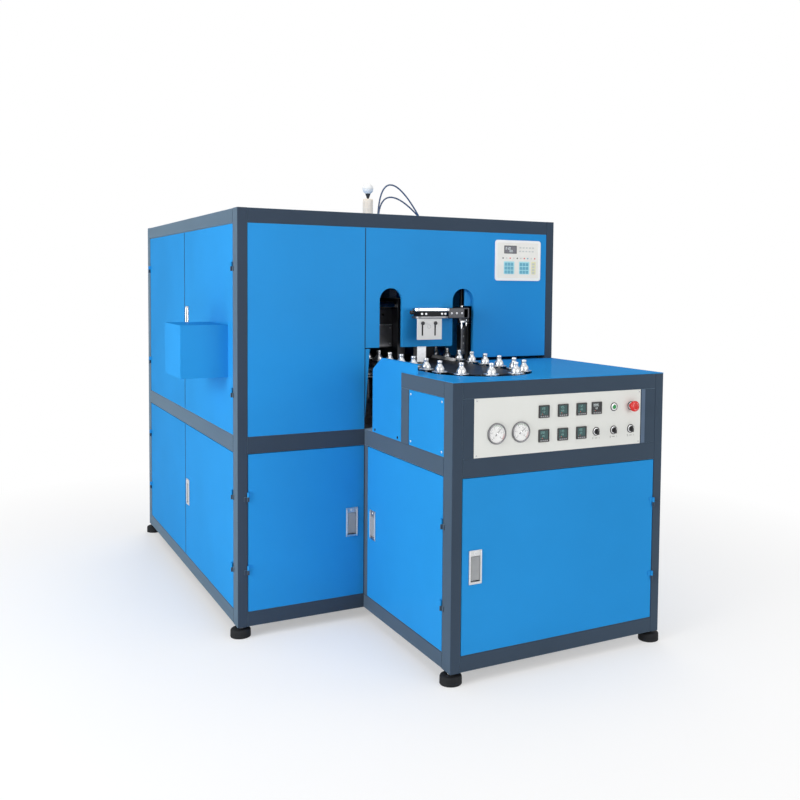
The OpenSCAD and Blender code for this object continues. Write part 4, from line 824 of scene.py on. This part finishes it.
def make_meters():
    """Panel controllers: a moulded bezel, a dark window with figures, lamps and keys."""
    figures = ("128", "105", "112", "098", "110", "120", "0035")
    for n, (x, z) in enumerate(METERS):
        timer = n == 6
        glow = DIGIT_WHITE if timer else DIGIT_GREEN
        shape = Shape(f"panel_meter_{n + 1}", facing("table_front", x, z))
        shape.plate(rounded(-26, -26, 26, 26, 3), 4.8, DARK, bevel=0.7,
                    holes=[rounded(-20.5, -14, 20.5, 21, 1.5)])
        shape.box((-21.6, -21.6, -78), (21.6, 21.6, 0), DARK, 1.2)
        shape.box((-20.8, -14.4, 0), (20.8, 21.2, 3.2), DARK if timer else SCREEN, 0.3)
        digits(shape, figures[n], -17 if timer else -14.5, 8.5, 9, glow, 3.2)
        digits(shape, figures[(n + 2) % 6], -11, -4.5, 7, glow, 3.2)
        for k in range(4):
            shape.box((-18.5 + k * 10, -22.5, 4.4), (-11.5 + k * 10, -17.2, 5.8), GREY)
        for x, tone in ((-15, DIGIT_GREEN), (-8, DIGIT_RED)):
            shape.turned([(1.3, 0), (1.3, 0.5), (0, 0.9)], tone, shift(x, -10, 3.2), 12)
        shape.done(("panel_meters",) if n == 0 else ())


def make_switches():
    """Chromed bezels in knurled black rings; knobs, start button and stop mushroom."""
    collars = Shape("switch_bezels")
    for x, z in SELECTORS + [STOP, START]:
        collars.here = facing("table_front", x, z)
        collars.turned([(9, -12), (9, 3.2), (9.6, 4), (12.4, 4), (13.6, 3.6), (15, 2.5),
                        (15, 0), (10.7, 0), (10.7, -40), (0, -40)], CHROME, steps=48)
        collars.turned([(14.8, 0), (14.8, 2.2), (15.4, 2.8), (17.4, 2.6), (18.2, 1.6), (18.2, 0)],
                       DARK, steps=48)
        for k in range(36):
            collars.box((17.9, -0.5, 0.3), (18.5, 0.5, 1.6), DARK, 0.15, local=spin(tau * k / 36))
    collars.done(("switch_collars",))
    for n, (x, z) in enumerate(SELECTORS):
        body = f"selector_knob_{n + 1}"
        knob = Shape(f"selector_{n + 1}_knob", facing("table_front", x, z))
        knob.turned([(8.9, -11), (8.9, 4.3), (12.4, 4.3), (12.4, 6.6), (11.4, 7.9), (0, 8.3)], DARK)
        knob.box((-3.9, -12.6, 7), (3.9, 12.6, 20), DARK, 1.6, 3)
        knob.box((-0.8, 3.5, 19.8), (0.8, 12, 20.3), WHITE_PLASTIC, 0.2)
        knob.done((body,), body)
        marks = Shape(f"selector_{n + 1}_marks", knob.here)
        digits(marks, "0", -18, -32, 7, INK)
        digits(marks, "1", 14, -32, 7, INK)
        marks.box((-7, -29.2, 0), (7, -27.8, 0.25), INK, 0)
        marks.done()
    start = Shape("start_cap", facing("table_front", *START))
    start.turned([(8.9, -7), (8.9, 5), (8.2, 5.8), (6.5, 6), (6, 5.5), (0, 5.3)], GREEN)
    start.done(("start_button",), "start_button")
    stop = Shape("stop_cap", facing("table_front", *STOP))
    stop.turned([(8.9, -5), (8.9, 10.4), (13, 10.6), (19.5, 16.4), (22.4, 20), (23, 22.5), (23, 27),
                 (22.2, 29.8), (20, 31.8), (14, 33), (0, 33.2)], RED, steps=56)
    arc = ring(14.6, 12, (0, 0), 0, 1.1) + ring(12.2, 12, (0, 0), 1.1, -1.1)
    for k in range(3):
        turn = spin(tau * k / 3)
        stop.plate(arc, 0.25, WHITE_PLASTIC, turn @ shift(0, 0, 32.75))
        stop.plate([(-2.6, 0), (2.6, 0), (0, 3.8)], 0.25, WHITE_PLASTIC,
                   turn @ spin(1.1) @ shift(13.4, 0, 32.7))
    stop.done(("stop_button",), "stop_button")


def make_instrument_panel():
    """The sprayed plate with its corner screws, and a darker blue-grey strip beside it as painted
    shade of the joint.
    """
    dressed("instrument_panel", PALE, 0.5)
    trim = Shape("instrument_trim")
    for u in (INST_LEFT + 10, INST_RIGHT - 10):
        for z in (MID_TOP + 10, TABLE_RAIL_Z - 10):
            screw(trim, facing("table_front", u, z), 3.6)
    # A darker blue-grey strip beside the panel's right edge: painted shade of the joint
    trim.box((INST_RIGHT + 5, TABLE_FACE_Y - 0.5, MID_TOP + 0.5),
             (INST_RIGHT + 25, TABLE_FACE_Y + 1, TABLE_RAIL_Z - 0.5), JOINT_SHADE, 0.4)
    trim.done()


def make_keypad():
    """Operator panel: white rim, dark display, lamps and blocks of membrane keys."""
    shape = Shape("keypad_face", facing("front", KEYPAD_X, KEYPAD_Z))
    w, h = KEYPAD_W, KEYPAD_H
    face = shift(0, 0, 3.5)
    shape.plate(rounded(0, 0, w, h, 14), 4.6, WHITE_PLASTIC, bevel=0.9,
                holes=[rounded(13, 13, w - 13, h - 13, 7)])
    shape.plate(rounded(12.5, 12.5, w - 12.5, h - 12.5, 7), 3.6, IVORY)
    shape.plate(rounded(52, 136, 126, 176, 2.5), 0.5, DARK, face)
    shape.plate(rounded(55, 139, 123, 173, 1.5), 0.8, DIM_GLASS, face)
    digits(shape, "0120", 61, 157, 10, DIGIT_WHITE, 4.3)
    digits(shape, "035", 84, 144, 9, DIGIT_WHITE, 4.3)
    for x0, y in ((142, 163), (140, 145)):
        for x in range(x0, x0 + 95, 19):
            shape.box((x, y, 3.5), (x + 12, y + 7, 4.1), KEY_GREY, 0.3)
    tones = (INK, KEY_GREY, RED, KEY_GREY, INK, KEY_GREY, RED, KEY_BLUE, KEY_GREY, RED)
    for k, tone in enumerate(tones):
        shape.turned([(3.6, 0), (3.6, 0.7), (2.2, 1.2), (0, 1.4)], tone,
                     shift(46 + k * 21, 113, 3.5), 20)
    blocks = ((54, 3, 3, KEY_CYAN, KEY_BLUE), (144, 3, 3, KEY_CYAN, KEY_BLUE),
              (218, 4, 1, KEY_YELLOW, KEY_GREY))
    for x0, rows, columns, plate, tone in blocks:
        wide, pitch = columns * 18 + 2, 58 / rows
        shape.plate(rounded(x0 - 3, 33, x0 + wide + 3, 97, 4), 0.35, plate, face)
        for i in range(columns):
            for j in range(rows):
                x, y = x0 + 1 + i * 18, 36 + j * pitch
                shape.box((x, y, 3.8), (x + 15, y + pitch - 4, 5), tone, 1)
    shape.done(("keypad",))


# Preform chain and arm


def pin_place(i):
    """Place of chain pin i, as in the part's source."""
    half = TEETH // 2
    if i <= RUN_LINKS:
        return ROW_L, TURN_Y + i * PITCH
    if i <= RUN_LINKS + half:
        a = radians((i - RUN_LINKS) * 360 / TEETH)
        return LOOP_X - LOOP_R * cos(a), REAR_Y + LOOP_R * sin(a)
    if i <= 2 * RUN_LINKS + half:
        return ROW_R, REAR_Y - (i - RUN_LINKS - half) * PITCH
    a = radians((i - 2 * RUN_LINKS - half) * 360 / TEETH)
    return LOOP_X + LOOP_R * cos(a), TURN_Y - LOOP_R * sin(a)


def make_holders():
    """Turned alloy holders: flange, body, cone and the hollow nose for the preform's neck."""
    shape = Shape("preform_holder_set")
    foot = CHAIN_Z - TABLE_H
    profile = [(4.6, foot), (STEM_R, foot), (STEM_R, 3), (32.2, 3), (33, 3.6), (33, 6.6),
               (32.2, 7.2), (17.4, 7.5), (17.4, 9.2), (19.2, 9.6), (20.2, 11), (20, 16),
               (18.9, 21), (16.8, 25.5), (13.6, 30), (11, 33.4), (9.9, 36.5), (9.9, 39.5),
               (10.9, 41), (11, 50.4), (10.2, 52), (8, 52.4), (7.2, 52), (4.6, 50), (4.6, foot)]
    for i in range(0, 2 * RUN_LINKS + TEETH, HOLDER_LINKS):
        shape.turned(profile, ALLOY, shift(*pin_place(i), TABLE_H), 32)
    shape.done(("preform_holders",))


def make_arm():
    """The lifting arm: sleeve, bar, gripper ring, clamp jaws, fittings and slotted guard."""
    shape = Shape("arm_assembly", shift(GUIDE_X, 0, ARM_Z))
    middle, top, near, far = RING_X - GUIDE_X, 50, -90, -5
    left, right = middle - 95, middle + 97
    shape.box((-75, 80, 0), (58, 120, top), BLACKED, 2, 3)
    shape.box((-75, -60, 0), (-45, 82, top), BLACKED, 2, 3)
    shape.box((right - 4, -60, 0), (-48, -20, top), BLACKED, 4, 3)
    shape.plate(rounded(left, near, right, far, 30, 10), 14, CHROME, shift(0, 0, top - 14), 2.4,
                [rounded(left + 16, near + 14, right - 18, far - 14, 20, 10)])
    shape.plate(rounded(left + 7, near + 2, right - 9, far - 2, 28, 10), 10, OILED,
                shift(0, 0, 2), 2)
    shape.box((middle - 70, near + 6, 11), (middle + 70, far - 6, 38), BLACK, 3, 3)
    for x in (-48, 0, 48):
        shape.turned([(9, 0), (9, 5), (7.5, 7), (3.5, 7), (3.5, 3.5), (0, 3.5)], CHROME,
                     shift(middle + x, -48, 38), 24)
    for x in (-62, -40, 44, 62):
        shape.turned([(5.4, -1), (5.4, 3.6), (4.6, 4.6), (2.6, 4.6), (2.6, 2), (0, 2)], ZINC,
                     shift(middle + x, near + 6, 24) @ TO_FRONT, 20)
    for x in (14, 42, 70):
        shape.turned([(5, -1), (5, 0.8), (4.2, 1.4), (2.4, 1.4), (2.4, -1), (0, -1)], ZINC,
                     shift(right + x, -60, 25) @ TO_FRONT, 20)
    shape.turned([(0, -8), (8, -8), (9, 0), (9, 8), (7, 11), (0, 11)], DARK,
                 shift(left + 2, -46, top - 20) @ spin(-pi / 2, "Y"), 24)
    shape.box((-34, 62, -30), (40, 80, -0.5), BLACKED, 2, 3)
    for x, low, r in ((-24, -56, 7.5), (4, -44, 6)):
        shape.turned([(0, 0), (r * 0.6, 0), (r * 0.6, 6), (r, 7), (r, 22), (r * 0.8, 24),
                      (r * 0.8, 34), (0, 34)], CHROME, shift(x, 56, low), 24)
    shape.box((-32, 50, -26), (12, 63, -16), ALLOY, 1.5, 3)
    shape.turned([(0, 0), (11, 0), (11, 7), (9.8, 8.6), (8.4, 8.6), (8, 7), (0, 7)], CHROME,
                 shift(27, 62, -16) @ TO_FRONT, 32)
    shape.turned([(9.05, -50), (9.05, 7), (9.6, 8), (15, 8), (16, 7), (16, 0), (10, 0)], CHROME,
                 shift(0, COLUMN_Y, top), 32)
    shape.turned([(0, -6), (6, -6), (6, 1), (0, 1)], CHROME, shift(LIFT_DX, COLUMN_Y, 0), 20)
    shape.done(("lifting_arm",), "arm")

    w, h, slots = 130, 100, (28, 95)
    corner_place = shift(left + 11, near + 12, 2 - h)
    plate = Shape("gripper_guard", shape.here @ corner_place @ TO_FRONT)
    plate.plate(rounded(0, 0, w, h, 2.5), 4, WHITE, bevel=0.5,
                holes=[rounded(x - 4.5, 18, x + 4.5, 84, 4.4) for x in slots])
    for x in slots:
        # Black pieces behind the slots: painted shade that keeps the slots dark
        plate.box((x - 8, 14, -2.4), (x + 8, 88, -0.2), BLACK, 0.6)
        knob = shift(x, 78, 4.2)
        plate.turned([(3, -9), (3, 0), (8, 0), (8, 6.4), (7, 8), (0, 8)], DARK, knob, 28)
        for k in range(10):
            plate.turned([(1.3, 0.4), (1.3, 7), (0, 7.4)], DARK,
                         knob @ spin(tau * k / 10) @ shift(7.6, 0, 0), 8)
    plate.plate(ring(9, 28, (62, 62)), 0.3, GREY, shift(0, 0, 4), holes=[ring(8, 28, (62, 62))])
    plate.done(("slotted_plate",), "arm")


def make_column():
    """Guide rod, cylinder and valve block behind the right slot."""
    shape = Shape("lift_column_detail", shift(GUIDE_X, 0, 0))
    lift = shift(LIFT_DX, COLUMN_Y, 0)
    shape.box((-15, 70, 917), (60, 130, 937), STEEL, 1.5)
    shape.turned([(0, 917), (9, 917), (9, 1648), (7.5, 1650), (0, 1650)], BLACKED,
                 shift(0, COLUMN_Y, 0), 32)
    shape.turned([(0, 937), (17, 937), (17, 1396), (16, 1398), (14, 1398), (14, 1406), (0, 1406)],
                 DARK, lift)
    shape.box((-13, 78, 1225), (17, 122, 1375), OILED, 2.5, 3)
    for z in (1245, 1281, 1317, 1353):
        screw(shape, shift(2, 78, z) @ TO_FRONT, 4.2)
    for z in (960, 1190, 1384):
        shape.turned([(17, z - 5), (18.4, z - 4), (18.4, z + 4), (17, z + 5)], ALLOY, lift)
    shape.done(("lift_column",))


def make_slot_background():
    """What the slots show: the sheet behind the right one's head, a black sheet in front of the
    oven as painted shade behind the openings, and the white rail.
    """
    for name, low, high, material, bevel, slot in (
            ("slot_head_sheet", (ROW_R + 17, 20.9, 1470), (ROW_R + 85, 22.4, 1640), BLUE, 0.4,
             "blue_paint"),
            # A black sheet in front of the oven: painted shade of the dark space behind the
            # openings
            ("oven_gap_shade_sheet", (1001, 233, 1201), (1084, 235, 1420), BLACK, 0.4, "black_paint"),
            ("holder_rail", (1068, 2, 1200), (1082, 232, 1214), WHITE_PLASTIC, 1.5,
             "pale_plastic")):
        shape = Shape(name)
        shape.box(low, high, material, bevel)
        shape.done()


# Roof


def arch_point(a, b, rise, u):
    """Point of the air hoses' route, as in the part's source."""
    p1, p2, v = a + Vector((10, 0, rise)), a + Vector((100, 0, rise)), 1 - u
    return v ** 3 * a + 3 * v * v * u * p1 + 3 * v * u * u * p2 + u ** 3 * b


def make_hoses():
    """Two air hoses, each from fitting to fitting."""
    for n, (x0, y, x1, rise) in enumerate(HOSES):
        start, end = Vector((x0, y, BODY_H + 12)), Vector((x1, y, BODY_H + 12))
        path = [arch_point(start, end, rise, k / 40) for k in range(41)]
        shape = Shape(f"air_hose_{n + 1}")
        shape.swept(path, 4, HOSE, 16)
        hose = shape.done(("air_tubes",) if n == 0 else ())


def make_roof_fittings():
    """Push-in bulkhead fittings, and the silencer with its neck and white float."""
    shape = Shape("roof_fitting_set")
    for x, y in [(x0, y) for x0, y, _, _ in HOSES] + [(x1, y) for _, y, x1, _ in HOSES]:
        here = shift(x, y, BODY_H)
        shape.turned([(9.8, -1), (11.2, 0), (11.2, 4.2), (10, 5), (0, 5)], ZINC, here, 6)
        shape.turned([(6.5, 4), (6.5, 10.4), (5.6, 11), (0, 11)], DARK, here, 28)
        shape.turned([(5.6, 10.6), (5.6, 12.6), (5, 13.4), (4.05, 13.4)], KEY_BLUE, here, 28)
        shape.turned([(0, -19), (7, -19), (7, 0)], ZINC, here, 24)
    here = shift(ROW_L + 20, CLAMP_Y, BODY_H)
    shape.turned([(0, -20), (10, -20), (10, -1)], ZINC, here, 28)
    body = [(25.5, -1), (25.5, 6)]
    for k in range(9):
        z = 10 + k * 8.4
        body += [(25.5, z), (24.6, z + 0.8), (24.6, z + 2.2), (25.5, z + 3)]
    body += [(25.5, 90), (24, 95), (18, 97), (6, 97)]
    shape.turned(body, SAND, here, 48)
    shape.turned([(5, 96.5), (5, 99), (6, 101), (12, 119), (13, 122), (13, 125), (0, 126)], DARK,
                 here, 40)
    shape.turned([(12.4, 122.5), (19, 128), (25, 138), (27.1, 146), (27.1, 148.5), (26, 148.5)],
                 IVORY, here)
    ball = ring(27, 24, (0, 147), -pi / 2, pi)
    shape.turned([(max(r, 0), h) for r, h in ball], WHITE_PLASTIC, here)
    shape.done(("roof_fittings",))


# Inside of the cabinet


def make_devices():
    """Contactors, relays and breakers on their rails, with terminals and levers."""
    first, step, bottom, rise = TABLE_X + 185, 63, 140, 170

    def tone(column, row):
        return (DARK, GREY, IVORY)[(column // 2 + row) % 3]

    def paint(place):
        if place.y > -13.4:
            return ZINC
        return tone(int((place.x - first) // step), int((place.z - bottom) // rise))

    dressed("electrical_plate", IVORY, 0.8, paint=paint)
    shape = Shape("device_fronts")
    for row in range(4):
        for column in range(10):
            x, y = first + column * step, -13.2 - 60 - 12 * (column % 3)
            z = bottom + 10 + rise * row
            other = GREY if tone(column, row) is DARK else DARK
            for low in (z + 5, z + 66):
                shape.box((x + 4, y - 2, low), (x + 46, y + 1, low + 14), other, 0.8)
                for k in range(3):
                    head = shift(x + 12 + 13 * k, y - 2, low + 7) @ TO_FRONT
                    shape.turned([(4, 0), (3.6, 1.2), (0, 1.4)], ZINC, head, 12)
            lever = RED if column % 4 == 1 else other
            shape.box((x + 18, y - 7, z + 36), (x + 32, y + 1, z + 50), lever, 1.5)
    shape.done()


def service_paint(place):
    """Zinc for the air service unit's bracket, clear bowls and dark caps."""
    if place.y < 51.2:
        return ZINC
    if place.z < 539.5:
        return BOWL
    return DARK if place.z > 600.5 else None


def make_inside():
    """What open doors show: platens, mould, devices, air service unit and the plain nodes."""
    # Steel on the platens' top face and its rounded edge: a machined top, and also a painted
    # highlight line along the top edge
    dressed("end_platens", BLACKED, 2,
            paint=lambda place: STEEL if place.z > 1503.2 else None)
    front = Shape("mould_front_plate")
    front.box((735, 201, 1266), (829, 204.9, 1373), OILED, 0.8)
    # A bright alloy strip along the plate's top edge: a painted highlight of that edge
    front.box((735, 200, 1371), (829, 204.9, 1376), ALLOY, 0.8)
    for x in (745, 819):
        for z in (1280, 1358):
            screw(front, shift(x, 201, z) @ TO_FRONT, 4)
    front.done()
    make_devices()
    dressed("air_service_unit", ALLOY, 1.5, paint=service_paint)
    coat(BLACKED, "fixed_mould")
    coat(CHROME, "tie_bars", "stretch_rods")
    coat(ALLOY, "clamp_cylinder", "base_cylinder", "blow_cylinder", "moving_mould")
    coat(STEEL, "chain_track", "moving_platen", "base_plug", "drive_wheel", "idler_wheel")
    coat(OILED, "machine_bed", "chain")
    coat(CAST, "gearmotor")
    coat(BLUE, "oven_housing")
    coat(LAMP, "heater_lamps")


make_camera()
make_studio()
make_hoses()
make_frame()
make_feet()
make_panels()
make_gap_shade_strips()
make_latches()
make_screws()
make_gauges()
make_meters()
make_switches()
make_instrument_panel()
make_keypad()
make_holders()
make_arm()
make_column()
make_slot_background()
make_roof_fittings()
make_inside()

bpy.context.scene.view_settings.view_transform = "Standard"
bpy.context.view_layer.update()
